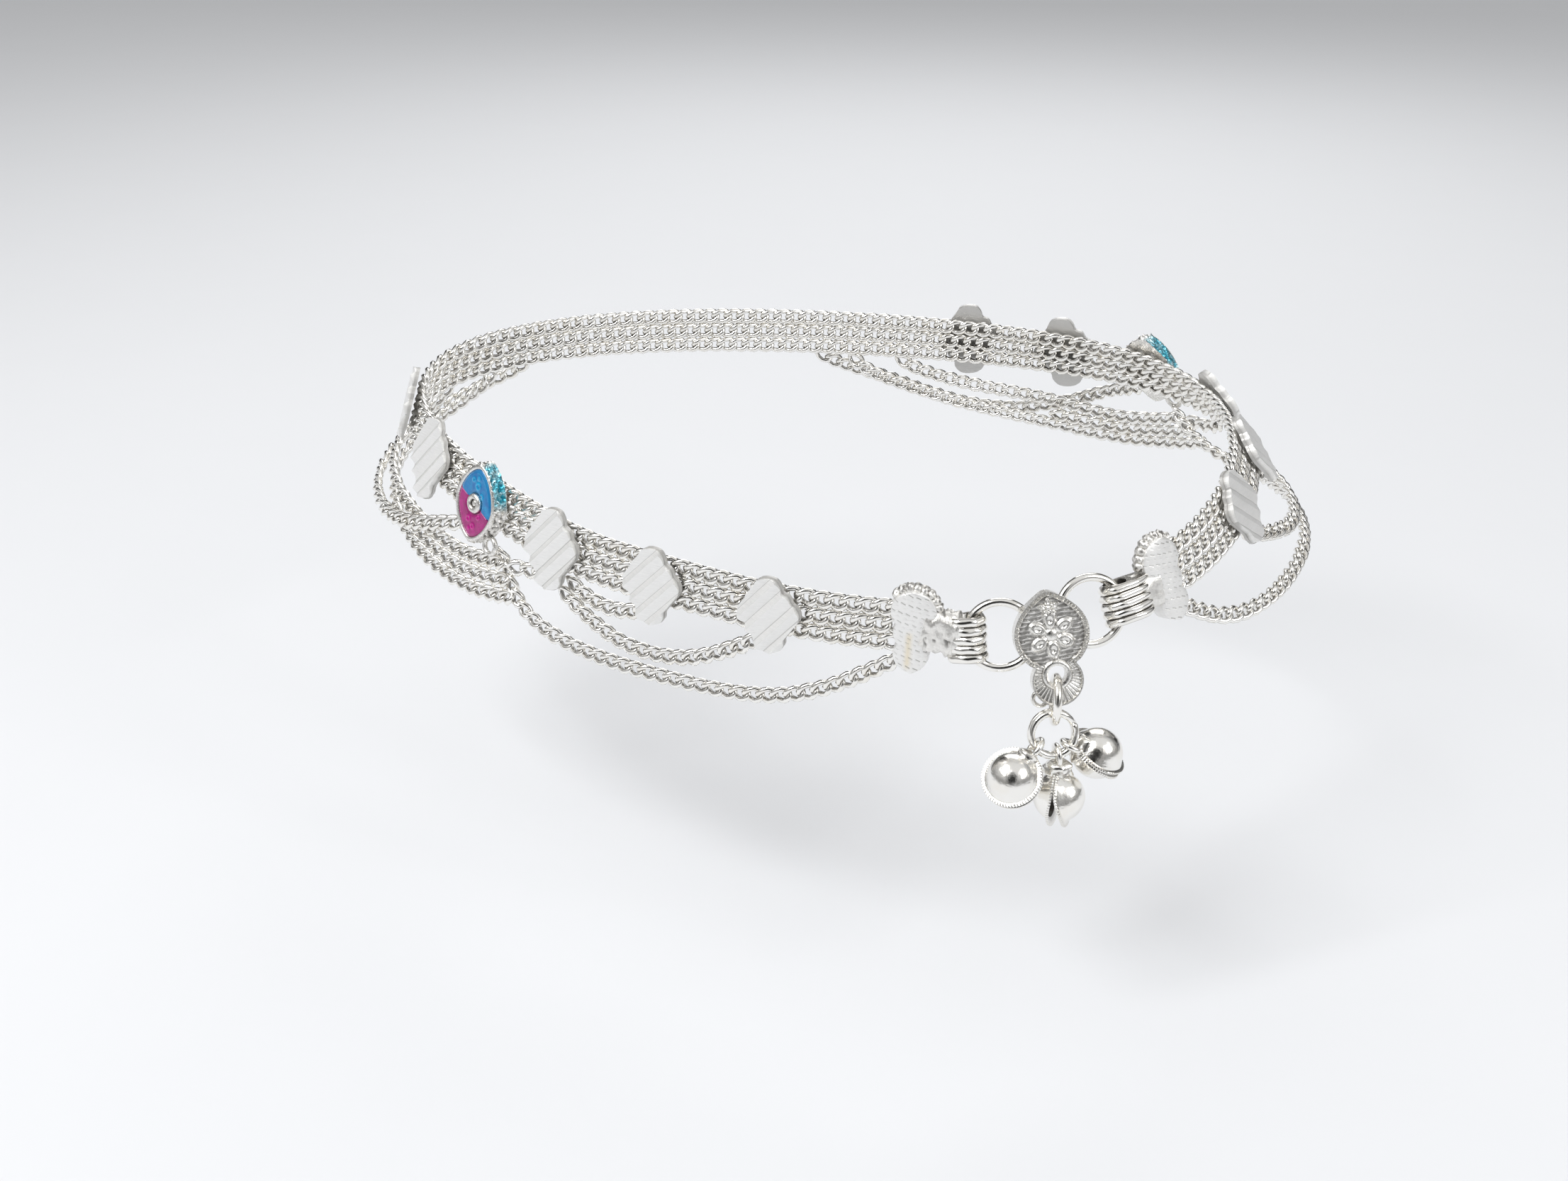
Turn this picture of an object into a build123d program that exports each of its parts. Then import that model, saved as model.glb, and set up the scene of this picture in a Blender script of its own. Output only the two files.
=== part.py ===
from build123d import *

import math
import os

# Payal anklet, held in the form that it has when it is worn. Millimetres, +X to the toes, +Y to the
# inner side of the ankle, +Z up. The origin is the middle of the ankle hollow, level with the band.

# Wear loop: an oval seen from above, and how its height changes round it. phi is the angle round
# the loop: 0 at the instep, 180 degrees at the heel, and -90 degrees on the outer side.
HALF_LENGTH = 48.9
HALF_WIDTH = 31.1
EGG_LENGTH = 5.6
EGG_WIDTH = 0.085
HEIGHT_WAVE = {"instep_up": 0.2, "inner_up": 4.4, "saddle": 1.4, "twist": -0.5}
# Flare: how far the wear surface leans outwards at the bottom, in radians.
FLARE_WAVE = {"mean": 0.24, "instep": 0.14, "ends": 0.19, "inner": 0.08, "twist": 0.12}
CLASP_ANGLE = -1.036
LOOP_STEPS = 1440

# Band: three rows of chain side by side.
ROW_PITCH = 1.95
ROW_DOWN = -0.3
# Sag of the rows: where it is deepest, how far it reaches to each side, and its depth.
ROW_SAG = (52.0, 9.0, 0.7)
ROW_DIAMETER = 1.9
ROW_POINTS = 20
BAND_START = 15.8
SWAG_DIAMETER = 1.6
ARC_SHARE = 0.45

# Plates: lobed lozenges soldered across the band.
PLATE_WIDTH = 7.2
PLATE_HEIGHT = 8.8
PLATE_BACK = 1.0
PLATE_STEP = 0.3
PLATE_THICKNESS = 0.95
FLUTE_RADIUS = 2.6
FLUTE_DEPTH = 0.28
FLUTE_PLACES = (-3.3, -1.1, 1.1, 3.3)
PLATE_STATIONS = [
    # name, distance from the clasp, how far below the middle, roll in degrees, scale
    ("near", 27.9, 0.0, 0, 1.0),
    ("second", 41.7, 0.4, 0, 1.03),
    ("third", 55.4, 0.9, 3, 1.1),
    ("fifth", 78.2, 0.0, 8, 1.14),
    ("sixth", 90.4, -0.3, 4, 1.1),
]
MOTIF_STATION = 66.7

# Enamel motif: a tall boss with a tray on its face.
MOTIF_BASE = (7.7, 9.6)
MOTIF_FACE = (6.8, 9.0)
MOTIF_HEIGHT = 1.6
MOTIF_POWER = 1.65
MOTIF_TRAY_DEPTH = 0.35
MOTIF_RIM = 0.32
MOTIF_DOME_RADIUS = 1.15
MOTIF_LUG = (2.6, -4.2)
LUG_RADIUS = 1.25
LUG_HOLE = 0.6
LUG_THICKNESS = 0.8
FIELD_TURN = 20
ENAMEL_GAP = 0.05

# End caps, each with a ribbed bail for its ring.
CAP_STATION = 12.75
CAP_BACK = -0.5
CAP_THICKNESS = 1.9
CAP_LOBES = [
    # along the band towards the clasp, up, radius
    (-0.1, 2.1, 2.4),
    (-0.7, -2.75, 1.85),
    (-0.4, -0.3, 2.0),
]
CROWN_REACH = (2.4, 2.5)
CROWN_BEAD = 0.55
NECK_HEIGHT = 3.0
NECK_THICKNESS = 1.5
BAIL_SET_IN = 0.35
BAIL_HEIGHT = 4.3
BAIL_DIAMETER = 3.4
BAIL_DRAWN_OUT = {"heel_side": 0.5, "toe_side": 1.7}
BAIL_BORE = 1.95
BAIL_RIBS = 5
RIB_GROOVE = 0.22

# Clasp: two rings, and the charm that holds them.
RING_DIAMETER = 7.6
RING_WIRE = 0.88
RING_PLACES = {"heel_side": (4.65, 1.1), "toe_side": (-4.6, 0.3)}
CHARM_STATION = (0.0, 0.6)
CHARM_ROLL = -1
CLASP_LEAN = 14
CHARM_BACK = 1.0
CHARM_THICKNESS = 1.2
CHARM_TIP = 3.95
CHARM_HALF_WIDTH = 3.72
CHARM_LOBE = (0.0, -4.5, 2.6)
CHARM_RIM = 0.4
CHARM_RELIEF = 0.3
EYELET_HOLE = 1.9
EYELET_RIM = 2.9
EYE_RADIUS = 0.88
EYE_WIRE = 0.56
BLOSSOM = {"centre": -0.4, "reach": 1.45, "petal": 0.62, "heart": 0.6, "height": 0.24}
CURL_PLACE = (-1.7, -6.95, -0.4)
CURL_RADIUS = 0.75
CURL_WIRE = 0.45
CURL_POST = (-1.6, -5.9, -0.1)

# Drop: a link, a double ring and three bells.
DROP_ROLL = -12
LINK_DIAMETER = 5.3
LINK_WIRE = 0.85
LINK_CLEARANCE = 0.06
DROP_RING_DIAMETER = 5.1
DROP_RING_WIRE = 0.6
BELL_RADIUS = 2.6
BELL_WALL = 0.3
BELL_SLIT = 0.75
BELL_LIP = 0.5
BELL_LIP_THICKNESS = 0.3
SHANK_RADIUS = 0.5
BELL_LOOP_RADIUS = 0.9
BELL_LOOP_WIRE = 0.5
BELL_LOOP_HANG = 0.08
BELLS = [
    # name, place on the ring in degrees from straight down, centre from the ring's, slit turn
    ("left", -40, (-3.95, -4.4, 0.6), 58),
    ("middle", 9, (1.1, -6.5, -0.6), -20),
    ("right", 58, (4.9, -2.3, -1.6), -20),
]

# Loose chains: each row gives the distance from the clasp, how far below the band's middle
# the chain lies, and how far it stands off the wear surface.
SWAGS = {
    "long_swag": [
        (15.9, 4.25, 0.0), (19.5, 6.6, 0.0), (24.5, 9.3, 0.0), (30.0, 10.8, 0.0), (36.0, 11.2, 0.0),
        (42.0, 11.5, 0.0), (48.0, 11.8, 0.0), (54.0, 11.7, 0.0), (58.4, 10.7, 0.0), (60.6, 9.2, 0.0),
        (61.9, 7.4, 0.0), (62.9, 5.7, 0.0),
    ],
    "middle_swag": [
        (29.8, 4.0, 0.0), (33.0, 6.0, 0.0), (37.5, 8.4, 0.0), (42.0, 9.2, 0.0),
        (46.2, 9.1, 0.0), (49.4, 8.0, 0.0), (52.6, 6.7, 0.0),
    ],
    "short_swag": [
        (42.6, 4.0, 0.0), (45.5, 5.2, 0.0), (48.5, 5.7, 0.0), (51.6, 5.0, 0.0),
    ],
    "gather_swag": [
        (56.4, 4.1, 0.0), (58.2, 5.2, 0.0), (60.4, 5.5, 0.0),
    ],
    "heel_lower_swag": [
        (62.6, 10.0, 0.0), (66.0, 10.8, 0.0), (69.5, 11.4, 0.0), (74.0, 11.4, 0.3), (78.0, 11.0, 0.6),
        (83.0, 10.2, 0.8), (88.0, 9.4, 0.8), (92.5, 8.4, 0.8), (97.0, 7.0, 0.6), (101.0, 5.6, 0.2),
        (103.5, 4.6, 0.0),
    ],
    "heel_middle_swag": [
        (63.4, 8.2, 0.0), (66.4, 8.9, 0.0), (70.0, 9.7, 0.0), (74.6, 9.6, 0.3), (79.0, 9.2, 0.6),
    ],
    "heel_inner_swag": [
        (64.8, 6.5, 0.0), (67.4, 7.2, 0.0), (70.6, 7.9, 0.0), (75.0, 7.8, 0.5), (80.0, 7.3, 1.2),
        (85.0, 7.0, 1.6), (90.0, 6.4, 1.6), (94.0, 5.2, 1.0), (97.5, 4.2, 0.2),
    ],
    "heel_cross_swag": [
        (69.6, 4.0, 0.6), (72.0, 5.0, 1.8), (75.5, 7.0, 2.4), (80.0, 9.2, 2.6), (85.0, 10.2, 2.7),
        (90.0, 10.0, 2.8), (95.0, 8.6, 2.6), (100.0, 6.6, 2.2), (104.0, 5.2, 1.8), (108.0, 4.1, 0.9),
    ],
}
# The toe side's own routes, where they aren't the heel side's.
TOE_SWAGS = {
    "long_swag": [
        (15.9, 4.6, 0.0), (19.5, 8.2, 0.3), (24.5, 9.9, 0.8), (30.0, 10.8, 1.0), (36.0, 11.3, 1.5),
        (42.0, 11.3, 1.6), (48.0, 11.2, 1.0), (54.0, 11.1, 0.3), (58.4, 10.4, 0.0), (60.6, 9.2, 0.0),
        (61.9, 7.4, 0.0), (62.9, 5.7, 0.0),
    ],
    "middle_swag": [
        (29.8, 4.2, 0.0), (33.0, 6.3, 0.6), (37.5, 8.8, 1.3), (42.0, 9.3, 1.6),
        (46.2, 8.8, 1.5), (49.4, 7.8, 0.8), (52.6, 6.7, 0.0),
    ],
}


def loop_point(phi):
    """Point of the wear loop at the angle phi."""
    x = HALF_LENGTH * math.cos(phi) - EGG_LENGTH * math.cos(2 * phi)
    y = HALF_WIDTH * math.sin(phi) * (1 + EGG_WIDTH * math.cos(phi))
    z = (
        HEIGHT_WAVE["instep_up"] * math.cos(phi)
        + HEIGHT_WAVE["inner_up"] * math.sin(phi)
        + HEIGHT_WAVE["saddle"] * math.cos(2 * phi)
        + HEIGHT_WAVE["twist"] * math.sin(2 * phi)
    )
    return Vector(x, y, z)


def measure_loop():
    """Length of the loop from the clasp to each step round it by way of the heel."""
    lengths = [0.0]
    for step in range(LOOP_STEPS):
        phi = CLASP_ANGLE - 2 * math.pi * step / LOOP_STEPS
        after = CLASP_ANGLE - 2 * math.pi * (step + 1) / LOOP_STEPS
        lengths.append(lengths[-1] + (loop_point(after) - loop_point(phi)).length)
    return lengths


LOOP_LENGTHS = measure_loop()
LOOP_LENGTH = LOOP_LENGTHS[-1]


def angle_at(station):
    """Angle phi at a distance from the clasp, measured along the loop towards the heel."""
    station = station % LOOP_LENGTH
    step = max(i for i, length in enumerate(LOOP_LENGTHS[:-1]) if length <= station)
    share = (station - LOOP_LENGTHS[step]) / (LOOP_LENGTHS[step + 1] - LOOP_LENGTHS[step])
    return CLASP_ANGLE - 2 * math.pi * (step + share) / LOOP_STEPS


def flare_at(phi):
    """Lean of the wear surface at the angle phi, in radians."""
    return (
        FLARE_WAVE["mean"]
        + FLARE_WAVE["instep"] * math.cos(phi)
        + FLARE_WAVE["ends"] * math.cos(2 * phi)
        + FLARE_WAVE["inner"] * math.sin(phi)
        + FLARE_WAVE["twist"] * math.sin(2 * phi)
    )


def rolled(plane, roll):
    """The plane turned about its own Z by roll degrees."""
    turn = math.radians(roll)
    x_dir = plane.x_dir * math.cos(turn) + plane.y_dir * math.sin(turn)
    return Plane(origin=plane.origin, x_dir=x_dir, z_dir=plane.z_dir)


def wear_plane(station, down=0.0, out=0.0, roll=0.0, lean=0.0):
    """Plane on the wear surface: X along the band towards the clasp's far side, Y up, Z outwards.

    roll turns it about Z and lean tips its top inwards, both in degrees.
    """
    phi = angle_at(station)
    ahead = loop_point(phi + 0.001) - loop_point(phi - 0.001)
    along = ahead.normalized()
    level_out = Vector(along.Y, -along.X, 0).normalized()
    flare = flare_at(phi)
    lower = Vector(0, 0, -math.cos(flare)) + level_out * math.sin(flare)
    lower = (lower - along * lower.dot(along)).normalized()
    outward = along.cross(lower * -1)
    origin = loop_point(phi) + lower * down + outward * out
    plane = Plane(origin=origin, x_dir=along, z_dir=outward)
    lean = math.radians(lean)
    leaning_out = outward * math.cos(lean) + plane.y_dir * math.sin(lean)
    leaning = Plane(origin=origin, x_dir=along, z_dir=leaning_out)
    return rolled(leaning, roll)


def wear_point(station, down=0.0, out=0.0):
    """Point on or off the wear surface."""
    return wear_plane(station, down, out).origin


RING_RADIUS = (RING_DIAMETER - RING_WIRE) / 2
RING_PLANES = {side: wear_plane(*place, lean=CLASP_LEAN) for side, place in RING_PLACES.items()}
CHARM_PLANE = wear_plane(*CHARM_STATION, CHARM_BACK, roll=CHARM_ROLL, lean=CLASP_LEAN)


PIVOT = CHARM_PLANE.from_local_coords(
    Vector(
        CHARM_LOBE[0],
        CHARM_LOBE[1] - EYELET_HOLE / 2 + LINK_WIRE / 2 + LINK_CLEARANCE,
        CHARM_THICKNESS / 2,
    )
)
DROP_PLANE = Plane(
    origin=PIVOT,
    x_dir=wear_plane(*CHARM_STATION, roll=DROP_ROLL, lean=CLASP_LEAN).x_dir,
    z_dir=CHARM_PLANE.z_dir,
)
LINK_RADIUS = (LINK_DIAMETER - LINK_WIRE) / 2
DROP_RING_RADIUS = (DROP_RING_DIAMETER - DROP_RING_WIRE) / 2
DROP_RING_Y = -2 * LINK_RADIUS + (LINK_WIRE + DROP_RING_WIRE) / 2 + LINK_CLEARANCE - DROP_RING_RADIUS


def lobed_outline(width, height, waves=0.035, power=1.45, count=48):
    """Points of a lozenge with round corners and eight soft waves: its radius is a power mean of
    the two half sizes, times one plus a small cosine."""
    points = []
    for index in range(count):
        angle = 2 * math.pi * index / count
        reach = (abs(math.cos(angle)) * 2 / width) ** power + (abs(math.sin(angle)) * 2 / height) ** power
        radius = reach ** (-1 / power) * (1 + waves * math.cos(8 * angle))
        points.append((radius * math.cos(angle), radius * math.sin(angle)))
    return points


def save(piece, name):
    """Labels a finished piece and writes its STEP file."""
    piece.label = name
    export_step(piece, f"parts/{name}.step")


def chain_tube(name, points, diameter):
    """A chain's outer form: straight runs joined by tangent arcs, with a round section."""
    radii = []
    for before, corner, after in zip(points, points[1:], points[2:]):
        run_in = corner - before
        run_out = after - corner
        half_turn = math.radians(run_in.get_angle(run_out)) / 2
        radii.append(ARC_SHARE * min(run_in.length, run_out.length) / math.tan(half_turn))
    with BuildPart() as tube:
        with BuildLine() as route:
            FilletPolyline(*points, radius=radii)
        path = route.wires()[0]
        with BuildSketch(Plane(origin=path @ 0, z_dir=path % 0)):
            Circle(diameter / 2)
        sweep(path=path)
    straight = math.pi * diameter ** 2 / 4 * path.length
    print(f"{name}: length {path.length:.1f}, least radius {min(radii):.1f},"
          f" volume over section times length {tube.part.volume / straight:.4f}")
    save(tube.part, name)


def row_down(station, place):
    """How far below the wear loop a row lies: its own pitch, and the sag on both sides."""
    middle, reach, depth = ROW_SAG
    from_clasp = min(station, LOOP_LENGTH - station)
    return ROW_DOWN + place * ROW_PITCH + depth * math.exp(-(((from_clasp - middle) / reach) ** 2))


def make_rows():
    """The band's three rows, from one end cap round the ankle to the other."""
    for name, place in (("row_upper", -1), ("row_middle", 0), ("row_lower", 1)):
        span = LOOP_LENGTH - 2 * BAND_START
        stations = [BAND_START + span * index / (ROW_POINTS - 1) for index in range(ROW_POINTS)]
        points = [wear_point(station, row_down(station, place)) for station in stations]
        chain_tube(name, points, ROW_DIAMETER)


def make_swags():
    """The loose chains below the band, on both sides of the clasp."""
    for name, table in SWAGS.items():
        for side, sign in (("heel_side", 1), ("toe_side", -1)):
            route = TOE_SWAGS.get(name, table) if side == "toe_side" else table
            points = [wear_point(sign * station, down, out) for station, down, out in route]
            chain_tube(f"{name}_{side}", points, SWAG_DIAMETER)


def make_plate(name, station, down, roll, scale):
    """A cast plate: a thin lobed foot, a body set in from it, and slanting flutes."""
    place = wear_plane(station, down, PLATE_BACK, roll=roll)
    width, height = PLATE_WIDTH * scale, PLATE_HEIGHT * scale
    with BuildPart() as plate:
        with BuildSketch(place):
            with BuildLine():
                Spline(*lobed_outline(width, height), periodic=True)
            make_face()
        extrude(amount=PLATE_STEP)
        with BuildSketch(place.offset(PLATE_STEP)):
            with BuildLine():
                Spline(*lobed_outline(width - 0.5, height - 0.5), periodic=True)
            make_face()
        extrude(amount=PLATE_THICKNESS - PLATE_STEP)
        with Locations(place.offset(PLATE_THICKNESS + FLUTE_RADIUS - FLUTE_DEPTH)):
            for shift in FLUTE_PLACES:
                with Locations(Location((-shift * 0.57, shift * 0.82, 0), (90, 0, -55))):
                    Cylinder(FLUTE_RADIUS, 2 * height, mode=Mode.SUBTRACT)
    save(plate.part, name)


def face_sketch(trim):
    """Outline points of the motif's face, set in by trim."""
    width, height = MOTIF_FACE
    return lobed_outline(width - 2 * trim, height - 2 * trim, waves=0.0, power=MOTIF_POWER, count=40)


def make_motif(side, sign):
    """The enamel motif: a boss with a tray, a dome in it, a lug below, and two fields of enamel."""
    place = wear_plane(sign * MOTIF_STATION, out=PLATE_BACK)
    top = place.offset(MOTIF_HEIGHT)
    floor = MOTIF_HEIGHT - MOTIF_TRAY_DEPTH
    with BuildPart() as motif:
        with BuildSketch(place):
            with BuildLine():
                Spline(*lobed_outline(*MOTIF_BASE, waves=0.02, power=MOTIF_POWER), periodic=True)
            make_face()
        with BuildSketch(top):
            with BuildLine():
                Spline(*lobed_outline(*MOTIF_FACE, waves=0.0, power=MOTIF_POWER), periodic=True)
            make_face()
        loft()
        with BuildSketch(top):
            with BuildLine():
                Spline(*face_sketch(MOTIF_RIM), periodic=True)
            make_face()
        extrude(amount=-MOTIF_TRAY_DEPTH, mode=Mode.SUBTRACT)
        with BuildSketch(place.offset(floor)):
            Circle(MOTIF_DOME_RADIUS)
        extrude(amount=MOTIF_TRAY_DEPTH + 0.3)
        lug_centre = (sign * MOTIF_LUG[0], MOTIF_LUG[1])
        with BuildSketch(place):
            with Locations(lug_centre):
                Circle(LUG_RADIUS)
        extrude(amount=LUG_THICKNESS)
        with BuildSketch(place):
            with Locations(lug_centre):
                Circle(LUG_HOLE)
        extrude(amount=LUG_THICKNESS, mode=Mode.SUBTRACT)
    save(motif.part, f"motif_{side}")
    for field, turn in (("enamel_blue", 0), ("enamel_rose", 180)):
        bed = place.offset(floor + ENAMEL_GAP)
        with BuildPart() as enamel:
            with BuildSketch(bed):
                with BuildLine():
                    Spline(*face_sketch(MOTIF_RIM + ENAMEL_GAP), periodic=True)
                make_face()
                Circle(MOTIF_DOME_RADIUS + ENAMEL_GAP, mode=Mode.SUBTRACT)
                with Locations(Location((0, 0, 0), (0, 0, turn - FIELD_TURN * sign))):
                    with Locations((0, -MOTIF_FACE[1] + ENAMEL_GAP)):
                        Rectangle(4 * MOTIF_FACE[0], 2 * MOTIF_FACE[1], mode=Mode.SUBTRACT)
            extrude(amount=MOTIF_TRAY_DEPTH - ENAMEL_GAP)
        save(enamel.part, f"{field}_{side}")


def make_cap(side, sign):
    """An end cap: three lobes, a scalloped crown behind the upper one, a neck and a ribbed bail."""
    place = wear_plane(sign * CAP_STATION, out=CAP_BACK)
    bail_place = upright_on_ring(side, -sign * (RING_RADIUS - BAIL_SET_IN))
    reach = (bail_place.origin - place.origin).length
    with BuildPart() as cap:
        with BuildSketch(place):
            for along, up, radius in CAP_LOBES:
                with Locations((sign * along, up)):
                    Circle(radius)
        extrude(amount=CAP_THICKNESS)
        with BuildSketch(place):
            for angle in range(20, 161, 28):
                turn = math.radians(angle)
                crown = (CROWN_REACH[0] * math.cos(turn), CAP_LOBES[0][1] + CROWN_REACH[1] * math.sin(turn))
                with Locations(crown):
                    Circle(CROWN_BEAD)
        extrude(amount=CAP_THICKNESS - 0.6)
        with BuildSketch(place.offset(0.2)):
            with Locations((sign * reach * 0.42, -0.5)):
                Rectangle(reach * 0.62, NECK_HEIGHT)
        extrude(amount=NECK_THICKNESS)
        drawn = BAIL_DRAWN_OUT[side]
        with BuildSketch(bail_place):
            with Locations((-sign * drawn / 2, 0)):
                SlotOverall(BAIL_DIAMETER + drawn, BAIL_DIAMETER)
        extrude(amount=BAIL_HEIGHT / 2, both=True)
        rib_pitch = BAIL_HEIGHT / BAIL_RIBS
        for rib in range(BAIL_RIBS - 1):
            height = (rib - (BAIL_RIBS - 2) / 2) * rib_pitch
            with BuildSketch(bail_place.offset(height - RIB_GROOVE / 2)):
                with Locations((-sign * drawn / 2, 0)):
                    SlotOverall(BAIL_DIAMETER + drawn + 0.4, BAIL_DIAMETER + 0.4)
                    SlotOverall(BAIL_DIAMETER + drawn - 0.32, BAIL_DIAMETER - 0.32, mode=Mode.SUBTRACT)
            extrude(amount=RIB_GROOVE, mode=Mode.SUBTRACT)
        with BuildSketch(bail_place):
            Circle(BAIL_BORE / 2)
        extrude(amount=BAIL_HEIGHT, both=True, mode=Mode.SUBTRACT)
    save(cap.part, f"end_cap_{side}")


def upright_on_ring(side, along):
    """Plane whose Z is the upward direction of a jump ring, at a distance along it from its middle."""
    ring_plane = RING_PLANES[side]
    centre = ring_plane.from_local_coords(Vector(along, 0, 0))
    return Plane(origin=centre, x_dir=ring_plane.x_dir, z_dir=ring_plane.y_dir)


def make_ring(side):
    """A round jump ring that lies in the wear surface."""
    with BuildPart() as ring:
        with Locations(RING_PLANES[side]):
            Torus(RING_RADIUS, RING_WIRE / 2)
    save(ring.part, f"ring_{side}")


def charm_outline(trim=0.0):
    """Edges of the charm's pointed heart, set in by trim."""
    half = CHARM_HALF_WIDTH - trim
    tip = (0, CHARM_TIP - 1.3 * trim)
    foot = (1.9 - trim * 0.4, -3.5 + trim)
    with BuildLine() as outline:
        for side in (1, -1):
            ThreePointArc(tip, (side * half * 0.72, 2.1 - trim * 0.7), (side * half, -0.4))
            hip = (side * half * 0.88, -2.2 + trim * 0.3)
            ThreePointArc((side * half, -0.4), hip, (side * foot[0], foot[1]))
        Line(foot, (-foot[0], foot[1]))
    return outline.edges()


def make_charm():
    """The charm: a heart with a raised rim, a round lobe with an eyelet, and the hook's eyes and
    curled tail soldered behind."""
    lobe_x, lobe_y, lobe_radius = CHARM_LOBE
    body = CHARM_THICKNESS - CHARM_RELIEF
    reach = BLOSSOM["reach"]
    with BuildPart() as charm:
        with BuildSketch(CHARM_PLANE):
            make_face(charm_outline())
            with Locations((lobe_x, lobe_y)):
                Circle(lobe_radius)
        extrude(amount=body)
        with BuildSketch(CHARM_PLANE.offset(body)):
            make_face(charm_outline())
            make_face(charm_outline(CHARM_RIM), mode=Mode.SUBTRACT)
            with Locations((lobe_x, lobe_y)):
                Circle(EYELET_RIM / 2)
        extrude(amount=CHARM_RELIEF)
        with BuildSketch(CHARM_PLANE.offset(body)):
            for index in range(6):
                angle = math.radians(60 * index + 30)
                petal = (reach * math.cos(angle), BLOSSOM["centre"] + reach * math.sin(angle))
                with Locations(petal):
                    Circle(BLOSSOM["petal"])
            with Locations((0, BLOSSOM["centre"])):
                Circle(BLOSSOM["heart"])
        extrude(amount=BLOSSOM["height"])
        with Locations(CHARM_PLANE):
            with Locations((lobe_x, lobe_y, 0)):
                Cylinder(EYELET_HOLE / 2, 6, mode=Mode.SUBTRACT)
            with Locations(CURL_PLACE):
                Torus(CURL_RADIUS, CURL_WIRE / 2)
            with Locations(CURL_POST):
                Cylinder(CURL_WIRE / 2, 0.8)
        for side, sign in (("heel_side", 1), ("toe_side", -1)):
            with Locations(upright_on_ring(side, sign * RING_RADIUS)):
                Torus(EYE_RADIUS, EYE_WIRE / 2)
    save(charm.part, "charm")


def make_drop():
    """The link through the charm's eyelet, the double ring on it, and the three bells."""
    link_plane = Plane(origin=DROP_PLANE.from_local_coords(Vector(0, -LINK_RADIUS, 0)),
                       x_dir=DROP_PLANE.z_dir, z_dir=DROP_PLANE.x_dir)
    with BuildPart() as link:
        with Locations(link_plane):
            Torus(LINK_RADIUS, LINK_WIRE / 2)
    save(link.part, "drop_link")
    with BuildPart() as ring:
        with Locations(DROP_PLANE):
            with Locations((0, DROP_RING_Y, DROP_RING_WIRE * 0.46), (0, DROP_RING_Y, -DROP_RING_WIRE * 0.46)):
                Torus(DROP_RING_RADIUS, DROP_RING_WIRE / 2)
    save(ring.part, "drop_ring")
    for name, place, centre, slit_turn in BELLS:
        make_bell(f"bell_{name}", place, centre, slit_turn)


def make_bell(name, place, centre, slit_turn):
    """A hollow bell with a slit between two flared lips, and a loop round the ring.

    It is built about its own axis, with the slit across X, and then set in place.
    """
    angle = math.radians(place)
    ring_centre = Vector(0, DROP_RING_Y, 0)
    hold = Vector(DROP_RING_RADIUS * math.sin(angle), -DROP_RING_RADIUS * math.cos(angle), 0)
    wire_along = Vector(math.cos(angle), math.sin(angle), 0)
    hold_place = DROP_PLANE.from_local_coords(ring_centre + hold)
    tangent = DROP_PLANE.from_local_coords(ring_centre + hold + wire_along) - hold_place
    middle = DROP_PLANE.from_local_coords(ring_centre + Vector(*centre))
    axis = (hold_place - middle).normalized()
    sideways = (tangent - axis * tangent.dot(axis)).normalized()
    bell_plane = rolled(Plane(origin=middle, x_dir=sideways, z_dir=axis), slit_turn)
    loop_height = (hold_place - middle).length - BELL_LOOP_HANG
    shank_height = loop_height - BELL_LOOP_RADIUS
    loop_axis = Vector(math.cos(math.radians(slit_turn)), -math.sin(math.radians(slit_turn)), 0)
    with BuildPart() as bell:
        Cylinder(BELL_RADIUS + BELL_LIP, BELL_SLIT + 2 * BELL_LIP_THICKNESS, rotation=(0, 90, 0))
        with Locations((0, 0, BELL_RADIUS)):
            Box(3 * BELL_RADIUS, 3 * BELL_RADIUS, 2 * BELL_RADIUS, mode=Mode.SUBTRACT)
        Sphere(BELL_RADIUS)
        with Locations((0, 0, BELL_RADIUS - BELL_WALL)):
            above = (Align.CENTER, Align.CENTER, Align.MIN)
            Cylinder(SHANK_RADIUS, shank_height - BELL_RADIUS + BELL_WALL, align=above)
        Sphere(BELL_RADIUS - BELL_WALL, mode=Mode.SUBTRACT)
        with Locations((0, 0, -BELL_RADIUS)):
            Box(BELL_SLIT, 3 * BELL_RADIUS, 2 * BELL_RADIUS, mode=Mode.SUBTRACT)
        with Locations(Plane(origin=(0, 0, loop_height), z_dir=loop_axis)):
            Torus(BELL_LOOP_RADIUS, BELL_LOOP_WIRE / 2)
    save(bell.part.moved(bell_plane.location), name)


def main():
    os.makedirs("parts", exist_ok=True)
    print(f"loop length {LOOP_LENGTH:.1f}")
    make_rows()
    make_swags()
    for side, sign in (("heel_side", 1), ("toe_side", -1)):
        for name, station, down, roll, scale in PLATE_STATIONS:
            make_plate(f"plate_{name}_{side}", sign * station, down, sign * roll, scale)
        make_motif(side, sign)
        make_cap(side, sign)
        make_ring(side)
    make_charm()
    make_drop()
    print("pivot", PIVOT, "axis", DROP_PLANE.z_dir)


main()
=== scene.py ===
"""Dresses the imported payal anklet: its curb chains link by link, the frosted plates, the enamel
motifs, the end caps and bails, the clasp with its charm, and the drop with its bells.

Sizes are millimetres and degrees. Meshes are made in millimetres and scaled to metres once, when
they are given to Blender. +X points to the toes, +Y to the inner side of the ankle and +Z up.
"""

import logging
import math
from dataclasses import dataclass, field
from enum import Enum
from typing import Any, Callable, Sequence

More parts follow.
